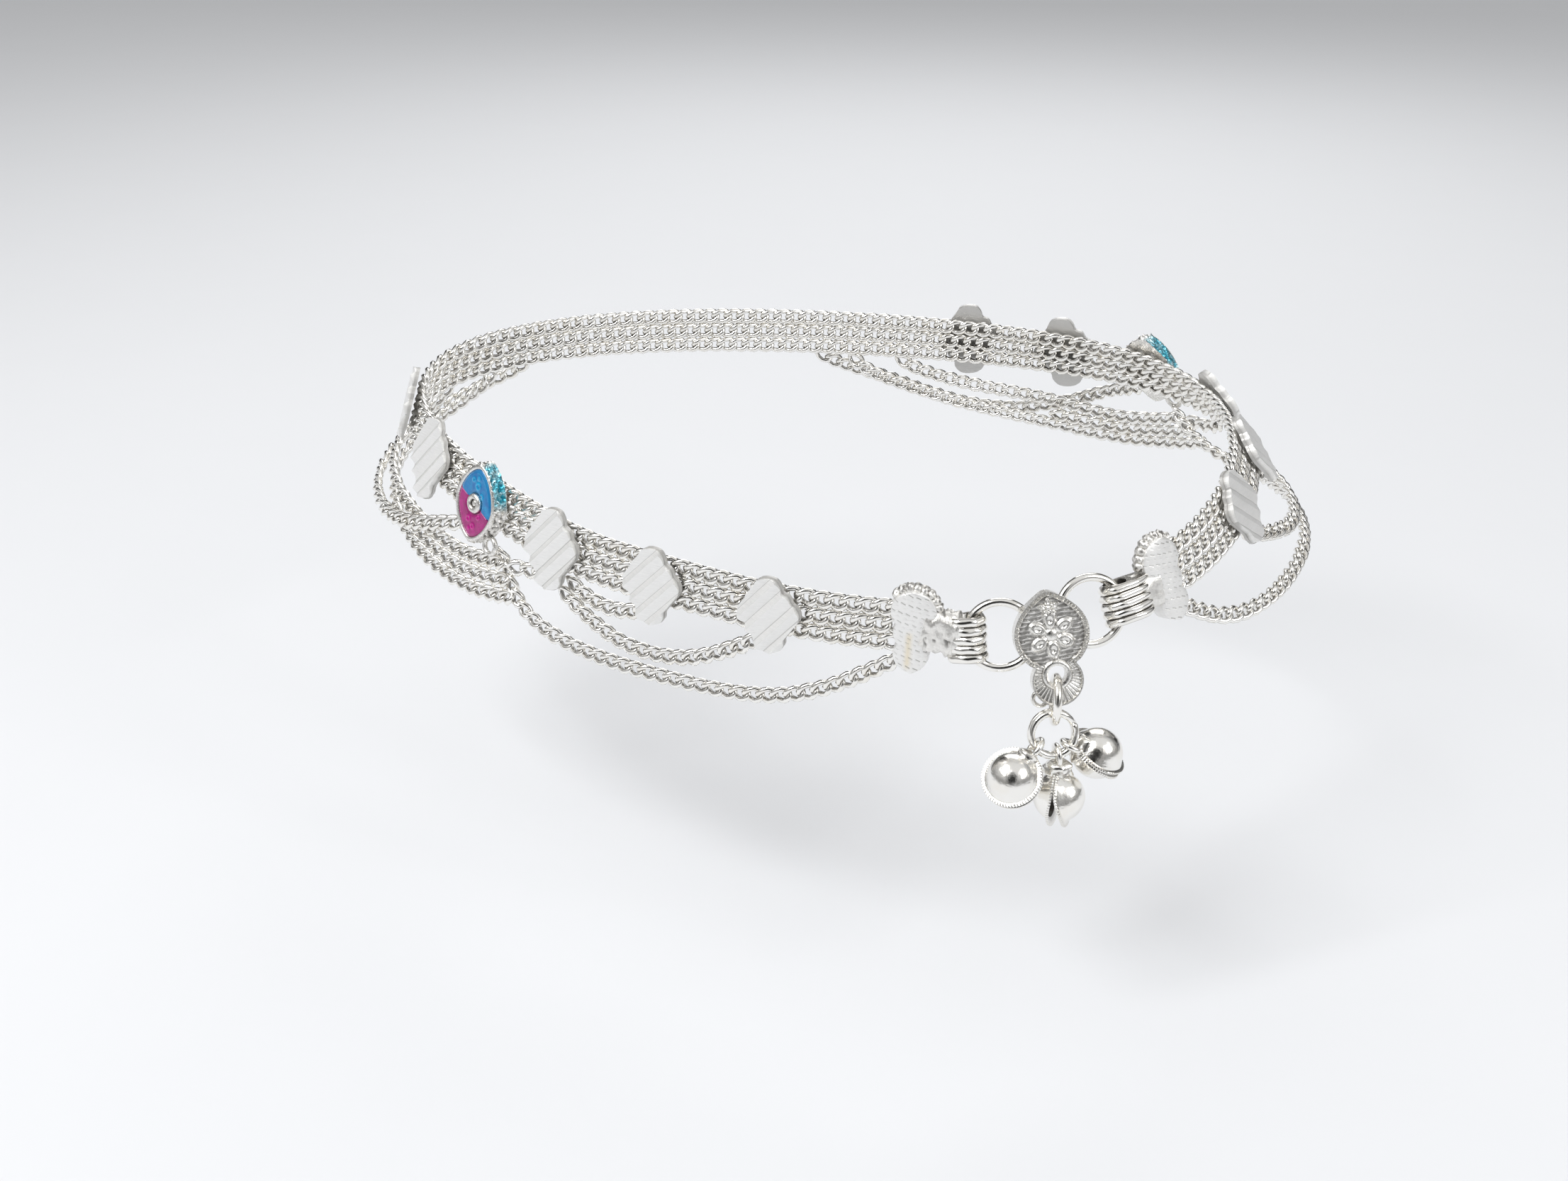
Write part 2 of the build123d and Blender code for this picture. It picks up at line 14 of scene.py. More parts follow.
import bmesh
import bpy
import numpy as np
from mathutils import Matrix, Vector

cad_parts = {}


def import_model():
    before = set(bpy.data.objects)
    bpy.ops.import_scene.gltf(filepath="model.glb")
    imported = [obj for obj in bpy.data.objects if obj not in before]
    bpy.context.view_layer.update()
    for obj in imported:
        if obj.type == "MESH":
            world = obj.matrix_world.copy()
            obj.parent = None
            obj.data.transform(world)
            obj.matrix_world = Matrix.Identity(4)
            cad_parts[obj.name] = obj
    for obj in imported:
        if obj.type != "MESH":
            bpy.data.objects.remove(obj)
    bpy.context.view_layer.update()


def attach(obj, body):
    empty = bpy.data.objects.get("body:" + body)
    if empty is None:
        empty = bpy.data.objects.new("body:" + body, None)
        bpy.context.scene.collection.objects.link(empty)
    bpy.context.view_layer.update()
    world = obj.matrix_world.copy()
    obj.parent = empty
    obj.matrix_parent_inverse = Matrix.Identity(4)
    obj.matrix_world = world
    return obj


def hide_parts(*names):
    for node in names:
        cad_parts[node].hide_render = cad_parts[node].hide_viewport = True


Array = np.ndarray
Triples = tuple[tuple[float, float, float], ...]
MM = 0.001
TURN = 2 * math.pi
OUTWARDS = np.array([0.0, 0.0, 1.0])
NARROWEST = 0.49
WELD = 0.0005
log = logging.getLogger("anklet")


class Side(Enum):
    """The two halves of the anklet, seen from the clasp, with the sign of their distances."""

    HEEL = 1
    TOE = -1

    @property
    def word(self) -> str:
        """The ending that the names of this side's pieces have."""
        return f"{self.name.lower()}_side"


class Slot(Enum):
    """The record's material slots."""

    CHAIN = "chain_silver"
    MATT = "matt_silver"
    CAST = "cast_silver"
    POLISHED = "polished_silver"
    BLUE = "blue_enamel"
    ROSE = "rose_enamel"


# --------------------------------------------------------------------------- shapes


def unit(vectors: Array) -> Array:
    """Vectors at length one.

    Args:
        vectors: An array whose last axis holds x, y and z.

    Returns:
        The same directions, each of length one.
    """
    return vectors / np.linalg.norm(vectors, axis=-1, keepdims=True)


def dots(one: Array, other: Array) -> Array:
    """The dot product of each row with the same row of the other array."""
    return np.einsum("ij,ij->i", one, other)


def swung(one: Array, other: Array, angle: Array | float) -> tuple[Array, Array]:
    """Two square directions turned in their plane, the first towards the second."""
    return one * np.cos(angle) + other * np.sin(angle), other * np.cos(angle) - one * np.sin(angle)


def polar(radius: Array | float, turn: Array, level: Array | float) -> Array:
    """Points at a distance and a direction from the z axis, each at its level along it."""
    x, y = radius * np.cos(turn), radius * np.sin(turn)
    return np.stack([x, y, level + 0 * x], axis=-1)


def smooth(low: float, high: float, value: Array) -> Array:
    """A soft step: 0 below low, 1 above high, and 3t^2 - 2t^3 between them.

    Args:
        low: Where the step starts.
        high: Where it ends.
        value: What is compared with them.

    Returns:
        Numbers from 0 to 1.
    """
    t = np.clip((value - low) / (high - low), 0.0, 1.0)
    return t * t * (3 - 2 * t)


def grain(points: Array, size: float, seed: int, waves: int = 14) -> Array:
    """Even lumps in space: the mean of many cosine waves of one wavelength, each in its own
    random direction and phase, times the square root of their number.

    Args:
        points: Places, in millimetres.
        size: The wavelength.
        seed: The seed of the directions and phases.
        waves: How many waves are added.

    Returns:
        One number for each point, mostly between -1.5 and 1.5.
    """
    rng = np.random.default_rng(seed)
    directions = unit(rng.normal(size=(waves, 3))) * (TURN / size)
    phases = rng.uniform(0, TURN, waves)
    return np.cos(points @ directions.T + phases).mean(axis=-1) * math.sqrt(waves)


def closed_curve(corners: Sequence[tuple[float, float]], steps: int) -> Array:
    """A smooth closed curve through its corners: between two of them it is the Catmull-Rom cubic,
    whose slope at a corner is half the way from the corner before to the corner after.

    Args:
        corners: The corners, in order.
        steps: Points for each stretch between two corners.

    Returns:
        An array of points, each with x and y.
    """
    corner = np.array(corners, float)
    a, b, c, d = (np.roll(corner, shift, axis=0)[:, None, :] for shift in (1, 0, -1, -2))
    t = np.linspace(0, 1, steps, endpoint=False)[None, :, None]
    square, cube = a - 2.5 * b + 2 * c - d / 2, 1.5 * (b - c) + (d - a) / 2
    return (b + t * (c - a) / 2 + t**2 * square + t**3 * cube).reshape(-1, 2)


def mirrored_outline(right_half: Sequence[tuple[float, float]]) -> list[tuple[float, float]]:
    """Corners of an outline that is the same left and right.

    Args:
        right_half: Corners from the top, on the middle line, round the right side to the bottom.

    Returns:
        The corners all the way round.
    """
    return list(right_half) + [(-x, y) for x, y in reversed(right_half[1:-1])]


@dataclass
class Surface:
    """A mesh in the making.

    Attributes:
        points: Places of the vertices.
        quads: Four vertex numbers for each face.
        nook: How dark a vertex is made, from 0 to 1: oxide in hollows, painted shade inside the chain links,
            the bells' cups and the bail's bore.
        tint: How much colour a vertex was sprayed with, from 0 to 1.
        flat: The vertex's place on the piece's own face, for a pattern that follows the face.
    """

    points: Array
    quads: Array
    nook: Array = field(default_factory=lambda: np.zeros(0))
    tint: Array = field(default_factory=lambda: np.zeros(0))
    flat: Array = field(default_factory=lambda: np.zeros((0, 2)))

    def __post_init__(self) -> None:
        """Fills what wasn't given."""
        count = len(self.points)
        self.nook = self.nook if len(self.nook) else np.zeros(count)
        self.tint = self.tint if len(self.tint) else np.zeros(count)
        self.flat = self.flat if len(self.flat) else self.points[:, :2].copy()

    def outward(self) -> "Surface":
        """The surface with its faces turned outwards, told by the sign of the volume that they
        enclose, which is a sixth of the sum of their corners' triple products.

        Returns:
            This surface.
        """
        a, b, c, d = (self.points[self.quads[:, k]] for k in range(4))
        if (dots(a, np.cross(b, c)) + dots(a, np.cross(c, d))).sum() < 0:
            self.quads = self.quads[:, ::-1]
        return self

    def placed(self, place: "Place") -> "Surface":
        """This surface in a place of the anklet.

        Args:
            place: Where its own axes lie.

        Returns:
            A new surface.
        """
        return Surface(place.to_frame(self.points), self.quads, self.nook, self.tint, self.flat)

    def warped(self, points: Array) -> "Surface":
        """The same faces with other places for the points."""
        return Surface(points, self.quads, self.nook, self.tint, self.flat)


def joined(surfaces: Sequence[Surface]) -> Surface:
    """One surface of several.

    Args:
        surfaces: The parts.

    Returns:
        Their points and faces together.
    """
    starts = np.cumsum([0] + [len(s.points) for s in surfaces[:-1]])
    quads = np.concatenate([s.quads + start for s, start in zip(surfaces, starts)])
    names = ("points", "nook", "tint", "flat")
    rest = {name: np.concatenate([getattr(s, name) for s in surfaces]) for name in names}
    return Surface(quads=quads, **rest)


def grid_quads(rows: int, columns: int, wrap_rows: bool = False, wrap_columns: bool = False) -> Array:
    """Faces between the neighbours of a grid whose points are numbered row by row.

    Args:
        rows: Rows of points.
        columns: Points in a row.
        wrap_rows: Whether the last row joins the first.
        wrap_columns: Whether the end of a row joins its start.

    Returns:
        Four vertex numbers for each face.
    """
    row = np.arange(rows if wrap_rows else rows - 1)[:, None]
    column = np.arange(columns if wrap_columns else columns - 1)[None, :]
    next_row, next_column = (row + 1) % rows, (column + 1) % columns
    corners = ((row, column), (row, next_column), (next_row, next_column), (next_row, column))
    return np.stack([down * columns + across for down, across in corners], axis=-1).reshape(-1, 4)


def over_grid(points: Array, wrap_rows: bool, wrap_columns: bool, nook: Array | None = None) -> Surface:
    """A surface over a grid of points.

    Args:
        points: The grid: rows of points with x, y and z.
        wrap_rows: Whether the last row joins the first.
        wrap_columns: Whether the end of a row joins its start.
        nook: How much oxide each point holds, where any does.

    Returns:
        The surface, with its faces turned outwards.
    """
    shape = points.shape[:2]
    made = Surface(points.reshape(-1, 3), grid_quads(*shape, wrap_rows, wrap_columns))
    if nook is not None:
        made.nook = np.broadcast_to(nook, shape).ravel()
    return made.outward()


def tube(path: Array, radius: Array | float, sides: int, closed: bool, hint: Array) -> Surface:
    """A round wire: at each point of the path a circle, in the plane across the path, whose first
    axis is the hint made square to the path.

    Args:
        path: Points along the middle of the wire.
        radius: The wire's radius, one for all or one for each point.
        sides: Points round the wire.
        closed: Whether the path's end joins its start.
        hint: A direction for each point, or one for all, that isn't along the path.

    Returns:
        The wire's surface; an open wire ends in points.
    """
    ahead = np.roll(path, -1, axis=0) - np.roll(path, 1, axis=0)
    if not closed:
        ahead[0], ahead[-1] = path[1] - path[0], path[-1] - path[-2]
    ahead = unit(ahead)
    first = np.broadcast_to(hint, path.shape)
    first = unit(first - ahead * dots(first, ahead)[:, None])
    second = np.cross(ahead, first)
    turn = np.linspace(0, TURN, sides, endpoint=False)
    reach = np.broadcast_to(np.asarray(radius, float), (len(path),))[:, None, None]
    ring = np.cos(turn)[None, :, None] * first[:, None] + np.sin(turn)[None, :, None] * second[:, None]
    return over_grid(path[:, None] + reach * ring, closed, True)


def hoop(radius: float, wire: float, around: int = 64, sides: int = 14) -> Surface:
    """A round ring about its own Z: a circle carried round a circle.

    Args:
        radius: From the middle of the ring to the middle of its wire.
        wire: The wire's thickness.
        around: Points round the ring.
        sides: Points round the wire.

    Returns:
        The ring's surface.
    """
    turn = np.linspace(0, TURN, around, endpoint=False)
    return tube(polar(radius, turn, 0.0), wire / 2, sides, True, OUTWARDS)


def lump(size: tuple[float, float, float], bumps: float, grit: float, seed: int, around: int = 20) -> Surface:
    """A lump of solder: a ball squeezed to three half sizes, whose radius swells and shrinks with
    the grain.

    Args:
        size: Half sizes along its own axes.
        bumps: Share of the radius that the grain moves.
        grit: Wavelength of the grain.
        seed: Seed of the grain.
        around: Points round it.

    Returns:
        The lump's surface, about its own middle.
    """
    level = np.linspace(-math.pi / 2, math.pi / 2, around // 2 + 1)[:, None]
    turn = np.linspace(0, TURN, around, endpoint=False)[None, :]
    ball = polar(np.cos(level), turn, np.sin(level)) * np.array(size)
    wave = grain(ball, grit, seed)
    return over_grid(ball * (1 + bumps * wave)[..., None], False, True, smooth(0.2, -1.0, wave))


def slab(
    rows: Array,
    low: Array,
    high: Array,
    columns: int,
    walls: Sequence[tuple[float, float]],
    height: Callable[[Array, Array], Array],
) -> Surface:
    """A cast slab that lies on z = 0. Each row is a line across it at one y, from x = low to
    x = high. The walls are given as steps, each with how far it is set in and how high it is, and
    between the last steps of both sides the top is height(x, y).

    Args:
        rows: The y of each row, in order.
        low: Where each row starts.
        high: Where each row ends.
        columns: Points across the top.
        walls: Steps of the wall from the back up, as (set in, height).
        height: A function of x and y that gives the top.

    Returns:
        The slab's closed surface.
    """
    y = rows[:, None]
    width = (high - low)[:, None]
    set_in, level = np.array(walls).T[:, None, :]
    set_in = np.minimum(set_in, NARROWEST * width)
    share = np.linspace(0, 1, columns)[None, :]
    inner = set_in[:, -1:]
    top_x = low[:, None] + inner + share * (width - 2 * inner)
    x = np.concatenate([low[:, None] + set_in, top_x, (high[:, None] - set_in)[:, ::-1]], axis=1)
    top = height(top_x, y + 0 * top_x)
    wall = np.broadcast_to(level, (len(rows), len(walls)))
    z = np.concatenate([wall, top, wall[:, ::-1]], axis=1)
    return over_grid(np.stack([x, y + 0 * x, z], axis=-1), False, True)


@dataclass(frozen=True)
class Place:
    """Where a piece's own axes lie: x along the band to the right, y up, z outwards."""

    origin: Array
    along: Array
    up: Array
    out: Array

    def to_frame(self, points: Array) -> Array:
        """Points given on these axes, in the anklet's frame."""
        return self.origin + points @ np.stack([self.along, self.up, self.out])

    def moved(self, along: float = 0.0, up: float = 0.0, out: float = 0.0) -> "Place":
        """The place moved along its own axes.

        Args:
            along: To the right.
            up: Upwards.
            out: Outwards.

        Returns:
            The new place.
        """
        return Place(self.to_frame(np.array([along, up, out])), self.along, self.up, self.out)

    def turned(self, degrees: float) -> "Place":
        """The place turned about its own z, counterclockwise seen from outside.

        Args:
            degrees: How far it turns.

        Returns:
            The new place.
        """
        return Place(self.origin, *swung(self.along, self.up, math.radians(degrees)), self.out)

    def upright(self, along: float = 0.0) -> "Place":
        """The place with its z pointing the way that up does here, so that a hoop there has its
        hole upwards.

        Args:
            along: How far to the right it moves.

        Returns:
            The new place.
        """
        return Place(self.moved(along).origin, self.along, -self.out, self.up)


@dataclass(frozen=True)
class WearLoop:
    """The oval that the anklet follows round the ankle.

    phi is the angle round it: x is half_length cos(phi) - egg_length cos(2 phi), y is half_width
    sin(phi) (1 + egg_width cos(phi)), and z is a sum of four waves. A station is the distance
    along the loop from the clasp, towards the heel.
    """

    half_length: float = 48.9
    half_width: float = 31.1
    egg_length: float = 5.6
    egg_width: float = 0.085
    instep_up: float = 0.2
    inner_up: float = 4.4
    saddle: float = 1.4
    twist: float = -0.5
    flare_mean: float = 0.24
    flare_instep: float = 0.14
    flare_ends: float = 0.19
    flare_inner: float = 0.08
    flare_twist: float = 0.12
    clasp_angle: float = -1.036
    steps: int = 1440
    nearby: float = 0.001

    def point(self, phi: Array) -> Array:
        """Points of the loop.

        Args:
            phi: Angles round the loop.

        Returns:
            A point for each angle.
        """
        x = self.half_length * np.cos(phi) - self.egg_length * np.cos(2 * phi)
        y = self.half_width * np.sin(phi) * (1 + self.egg_width * np.cos(phi))
        z = (
            self.instep_up * np.cos(phi)
            + self.inner_up * np.sin(phi)
            + self.saddle * np.cos(2 * phi)
            + self.twist * np.sin(2 * phi)
        )
        return np.stack([x, y, z], axis=-1)

    def lengths(self) -> Array:
        """Distance from the clasp to each step round the loop."""
        phi = self.clasp_angle - TURN * np.arange(self.steps + 1) / self.steps
        run = np.linalg.norm(np.diff(self.point(phi), axis=0), axis=-1)
        return np.concatenate([[0.0], np.cumsum(run)])

    @property
    def length(self) -> float:
        """Length all the way round."""
        return float(self.lengths()[-1])

    def angle(self, station: Array) -> Array:
        """Angles phi at stations.

        Args:
            station: Distances from the clasp.

        Returns:
            An angle for each.
        """
        lengths = self.lengths()
        share = np.interp(np.mod(station, lengths[-1]), lengths, np.arange(self.steps + 1))
        return self.clasp_angle - TURN * share / self.steps

    def axes(self, station: Array) -> tuple[Array, Array, Array]:
        """The directions along the band, up it and out of it.

        Args:
            station: Distances from the clasp.

        Returns:
            Three arrays of directions, the same as the part's own.
        """
        phi = self.angle(station)
        along = unit(self.point(phi + self.nearby) - self.point(phi - self.nearby))
        level = unit(np.stack([along[..., 1], -along[..., 0], 0 * along[..., 0]], axis=-1))
        flare = (
            self.flare_mean
            + self.flare_instep * np.cos(phi)
            + self.flare_ends * np.cos(2 * phi)
            + self.flare_inner * np.sin(phi)
            + self.flare_twist * np.sin(2 * phi)
        )[..., None]
        lower = level * np.sin(flare) - OUTWARDS * np.cos(flare)
        lower = unit(lower - along * (lower * along).sum(axis=-1, keepdims=True))
        return along, -lower, np.cross(along, -lower)

    def surface(self, station: Array, down: Array, out: Array) -> Array:
        """Points on or off the wear surface.

        Args:
            station: Distances from the clasp.
            down: How far below the middle of the band.
            out: How far off the surface.

        Returns:
            A point for each.
        """
        _, up, outward = self.axes(station)
        middle = self.point(self.angle(station))
        return middle - up * np.asarray(down)[..., None] + outward * np.asarray(out)[..., None]

    def place(
        self, station: float, down: float = 0.0, out: float = 0.0, roll: float = 0.0, lean: float = 0.0
    ) -> Place:
        """A place on the wear surface.

        Args:
            station: Distance from the clasp.
            down: How far below the middle of the band.
            out: How far off the surface.
            roll: Turn about the outward direction, in degrees.
            lean: How far the top tips inwards, in degrees.

        Returns:
            The place.
        """
        station_row = np.array([station])
        along, up, outward = (axis[0] for axis in self.axes(station_row))
        origin = self.surface(station_row, np.array([down]), np.array([out]))[0]
        leaning, _ = swung(outward, up, math.radians(lean))
        return Place(origin, along, np.cross(leaning, along), leaning).turned(roll)


# --------------------------------------------------------------------------- finishes


class Wiring:
    """The node tree of one finish, with short calls for what the finishes use."""

    def __init__(self, name: str) -> None:
        """Starts a material.

        Args:
            name: The material's name.
        """
        self.material = bpy.data.materials.new(name)
        self.material.use_nodes = True
        self.tree = self.material.node_tree
        self.shader = self.tree.nodes["Principled BSDF"]

    def node(self, kind: str, **settings: Any) -> Any:
        """Adds a node.

        Args:
            kind: Blender's name of the node type.
            settings: Values for its properties.

        Returns:
            The node.
        """
        made = self.tree.nodes.new(kind)
        for name, value in settings.items():
            setattr(made, name, value)
        return made

    def feed(self, socket: Any, value: Any) -> None:
        """Links a socket to another's output, or sets its own value.

        Args:
            socket: The input.
            value: An output socket or a plain value.
        """
        if isinstance(value, bpy.types.NodeSocket):
            self.tree.links.new(value, socket)
        else:
            socket.default_value = value

    def place(self, space: str, scale: Sequence[float] = (1.0, 1.0, 1.0)) -> Any:
        """Coordinates for a pattern.

        Args:
            space: "Object" for the anklet's frame, or "UV" for a piece's own face.
            scale: How each axis is stretched.

        Returns:
            The output socket.
        """
        source = self.node("ShaderNodeTexCoord")
        mapping = self.node("ShaderNodeMapping")
        self.feed(mapping.inputs["Vector"], source.outputs[space])
        mapping.inputs["Scale"].default_value = scale
        return mapping.outputs["Vector"]

    def noise(self, vector: Any, scale: float, detail: float = 3.0, roughness: float = 0.55) -> Any:
        """Cloudy noise, from 0 to 1.

        Args:
            vector: Coordinates.
            scale: Clouds in one unit of the coordinates.
            detail: Octaves.
            roughness: Strength of the finer octaves.

        Returns:
            The output socket.
        """
        made = self.node("ShaderNodeTexNoise")
        self.feed(made.inputs["Vector"], vector)
        made.inputs["Scale"].default_value = scale
        made.inputs["Detail"].default_value = detail
        made.inputs["Roughness"].default_value = roughness
        return made.outputs["Fac"]

    def mark(self, name: str) -> Any:
        """A value that the mesh carries for each vertex."""
        return self.node("ShaderNodeAttribute", attribute_name=name).outputs["Fac"]

    def range(self, value: Any, low: float, high: float, to_low: float, to_high: float) -> Any:
        """A value stretched from one range to another, and held inside it.

        Args:
            value: The value.
            low: Start of the range that it is in.
            high: End of that range.
            to_low: What low becomes.
            to_high: What high becomes.

        Returns:
            The output socket.
        """
        made = self.node("ShaderNodeMapRange")
        for socket, number in zip(made.inputs, (value, low, high, to_low, to_high)):
            self.feed(socket, number)
        return made.outputs["Result"]

    def mix(self, share: Any, one: Any, other: Any) -> Any:
        """A colour between two.

        Args:
            share: How much of the other.
            one: The first colour.
            other: The other colour.

        Returns:
            The output socket.
        """
        made = self.node("ShaderNodeMix", data_type="RGBA")
        self.feed(made.inputs[0], share)
        self.feed(made.inputs[6], one)
        self.feed(made.inputs[7], other)
        return made.outputs[2]

    def sums(self, operation: str, one: Any, other: Any) -> Any:
        """Two values put together by one of Blender's operations."""
        made = self.node("ShaderNodeMath", operation=operation)
        self.feed(made.inputs[0], one)
        self.feed(made.inputs[1], other)
        return made.outputs[0]

    def product(self, one: Any, other: Any) -> Any:
        """Two values multiplied."""
        return self.sums("MULTIPLY", one, other)

    def sum(self, one: Any, other: Any) -> Any:
        """Two values added."""
        return self.sums("ADD", one, other)

    def bump(self, height: Any, depth: float) -> None:
        """Raises the surface's shading by a height.

        Args:
            height: The height, from 0 to 1.
            depth: What 1 stands for, in millimetres.
        """
        made = self.node("ShaderNodeBump")
        self.feed(made.inputs["Height"], height)
        made.inputs["Distance"].default_value = depth * MM
        made.inputs["Strength"].default_value = 1.0
        self.feed(self.shader.inputs["Normal"], made.outputs["Normal"])

    def set(self, **inputs: Any) -> None:
        """Feeds the shader's own inputs, named with underscores for spaces."""
        for name, value in inputs.items():
            self.feed(self.shader.inputs[name.replace("_", " ")], value)


Colour = tuple[float, float, float, float]


def colour(red: float, green: float, blue: float) -> Colour:
    """A colour that hides what is behind it."""
    return (red, green, blue, 1.0)


class Finish:
    """What every finish shares: it has a name, and it wires its own material."""

    name: str

    def material(self) -> bpy.types.Material:
        """Makes the material."""
        wiring = Wiring(self.name)
        self.wire(wiring)
        return wiring.material

    def wire(self, w: Wiring) -> None:
        """Adds the nodes of this finish."""
        raise NotImplementedError


@dataclass(frozen=True)
class PolishedSilver(Finish):
    """Bright silver with faint clouds of tarnish, hair scratches, and a dark colour where the mesh's nook
    is high: painted shade inside the chain links, the bells' cups and the bail's bore, darker too in the
    bells' milled notches and between the bail's ribs, and oxide in the low places of the bells' solder."""

    name: str = "polished_silver"
    bright: Colour = colour(0.93, 0.915, 0.88)
    warm: Colour = colour(0.86, 0.82, 0.74)
    oxide_and_shade: Colour = colour(0.10, 0.09, 0.08)
    oxide_and_shade_share: float = 0.75
    roughness: float = 0.13
    cloud: float = 0.10
    dent: float = 0.012

    def wire(self, w: Wiring) -> None:
        """Wires clouds of tarnish, hair scratches, and the oxide and painted shade of the nook."""
        where = w.place("Object")
        clouds = w.noise(where, 420.0, 3.0)
        fine = w.noise(where, 2600.0, 4.0, 0.6)
        # painted shade and oxide: where the nook is high, the colour goes towards the dark oxide_and_shade
        # colour
        nook = w.range(w.mark("nook"), 0.35, 1.0, 0.0, self.oxide_and_shade_share)
        tone = w.mix(w.range(clouds, 0.45, 0.75, 0.0, 0.6), self.bright, self.warm)
        dull = w.range(fine, 0.3, 0.8, self.roughness, self.roughness + self.cloud)
        w.set(
            Base_Color=w.mix(nook, tone, self.oxide_and_shade),
            Metallic=1.0,
            Roughness=w.sum(dull, w.product(nook, 0.25)),
        )
        w.bump(w.sum(fine, w.product(clouds, 2.0)), self.dent)


@dataclass(frozen=True)
class FrostedSilver(Finish):
    """White matt silver, brushed along the piece's own x, with a few darker scratches and a warm
    stain where the mesh's tint is."""

    name: str = "matt_silver"
    pale: Colour = colour(0.96, 0.955, 0.94)
    grey: Colour = colour(0.76, 0.755, 0.74)
    scratch: Colour = colour(0.34, 0.33, 0.31)
    stain: Colour = colour(0.86, 0.74, 0.50)
    metallic: float = 0.7
    roughness: float = 0.4
    brush_depth: float = 0.03
    streaks: float = 0.5

    def wire(self, w: Wiring) -> None:
        """Wires brush marks, scratches, the stain and the darkening where the nook is high."""
        face = w.place("UV", (0.5, 9.0, 1.0))
        long_face = w.place("UV", (0.22, 3.0, 1.0))
        brush = w.noise(face, 1.6, 4.0, 0.65)
        streak = w.noise(long_face, 1.0, 5.0, 0.7)
        speck = w.noise(w.place("Object"), 5200.0, 2.0)
        nook = w.range(w.mark("nook"), 0.3, 1.0, 0.0, 0.85)
        tone = w.mix(w.range(brush, 0.3, 0.7, 0.0, 0.55), self.pale, self.grey)
        tone = w.mix(w.range(streak, 0.64, 0.72, 0.0, self.streaks), tone, self.scratch)
        tone = w.mix(w.mark("tint"), tone, self.stain)
        w.set(
            Base_Color=w.mix(nook, tone, self.scratch),
            Metallic=self.metallic,
            Roughness=w.range(speck, 0.3, 0.7, self.roughness, self.roughness + 0.16),
        )
        w.bump(w.sum(brush, w.product(speck, 0.5)), self.brush_depth)


@dataclass(frozen=True)
class CastSilver(Finish):
    """Cast silver with a granular skin, dark in its low places, and a sprayed tint where the
    mesh asks for it."""

    name: str = "cast_silver"
    bright: Colour = colour(0.90, 0.885, 0.85)
    oxide_and_shade: Colour = colour(0.07, 0.062, 0.055)
    tint: Colour = colour(0.03, 0.42, 0.55)
    oxide_and_shade_share: float = 0.9
    roughness: float = 0.2
    skin: float = 0.05
    pitted: float = 0.3

    def wire(self, w: Wiring) -> None:
        """Wires pits, oxide and the sprayed tint."""
        where = w.place("Object")
        pits = w.noise(where, 3800.0, 4.0, 0.65)
        patches = w.noise(where, 900.0, 3.0)
        uneven = w.sum(w.mark("nook"), w.range(patches, 0.3, 0.7, -0.15, 0.15))
        nook = w.range(uneven, 0.25, 1.0, 0.0, self.oxide_and_shade_share)
        tone = w.mix(w.range(pits, 0.35, 0.7, 0.0, self.pitted), self.bright, self.oxide_and_shade)
        tone = w.mix(nook, tone, self.oxide_and_shade)
        spray = w.product(w.mark("tint"), w.range(patches, 0.35, 0.6, 0.55, 1.0))
        dull = w.range(pits, 0.3, 0.7, self.roughness, self.roughness + 0.18)
        w.set(
            Base_Color=w.mix(spray, tone, self.tint),
            Metallic=1.0,
            Roughness=w.sum(dull, w.product(nook, 0.25)),
        )
        w.bump(pits, self.skin)


@dataclass(frozen=True)
class Enamel(Finish):
    """Glossy enamel over bright metal: deeper in colour where it is thick, lighter where it runs
    over the relief, under a clear coat."""

    name: str
    deep: Colour
    light: Colour
    roughness: float = 0.22
    metallic: float = 0.15
    coat: float = 0.6

    def wire(self, w: Wiring) -> None:
        """Wires the flow of colour under the clear coat."""
        where = w.place("Object")
        flow = w.noise(where, 1300.0, 3.0)
        thick = w.sum(w.mark("nook"), w.range(flow, 0.3, 0.7, -0.25, 0.25))
        w.set(
            Base_Color=w.mix(w.range(thick, 0.0, 1.0, 0.0, 1.0), self.light, self.deep),
            Metallic=self.metallic,
            Roughness=w.range(flow, 0.3, 0.7, self.roughness, self.roughness + 0.12),
            Coat_Weight=self.coat,
            Coat_Roughness=0.05,
        )
        w.bump(flow, 0.03)


@dataclass(frozen=True)
class StudioPaper(Finish):
    """The plain pale floor."""

    name: str = "studio_paper"
    tone: Colour = colour(0.80, 0.81, 0.83)
    fibre: Colour = colour(0.70, 0.71, 0.73)

    def wire(self, w: Wiring) -> None:
        """Wires the paper and its faint fibres."""
        fibres = w.range(w.noise(w.place("Object"), 60.0, 4.0), 0.3, 0.7, 0.0, 0.04)
        w.set(Base_Color=w.mix(fibres, self.tone, self.fibre), Roughness=0.85, Specular_IOR_Level=0.1)


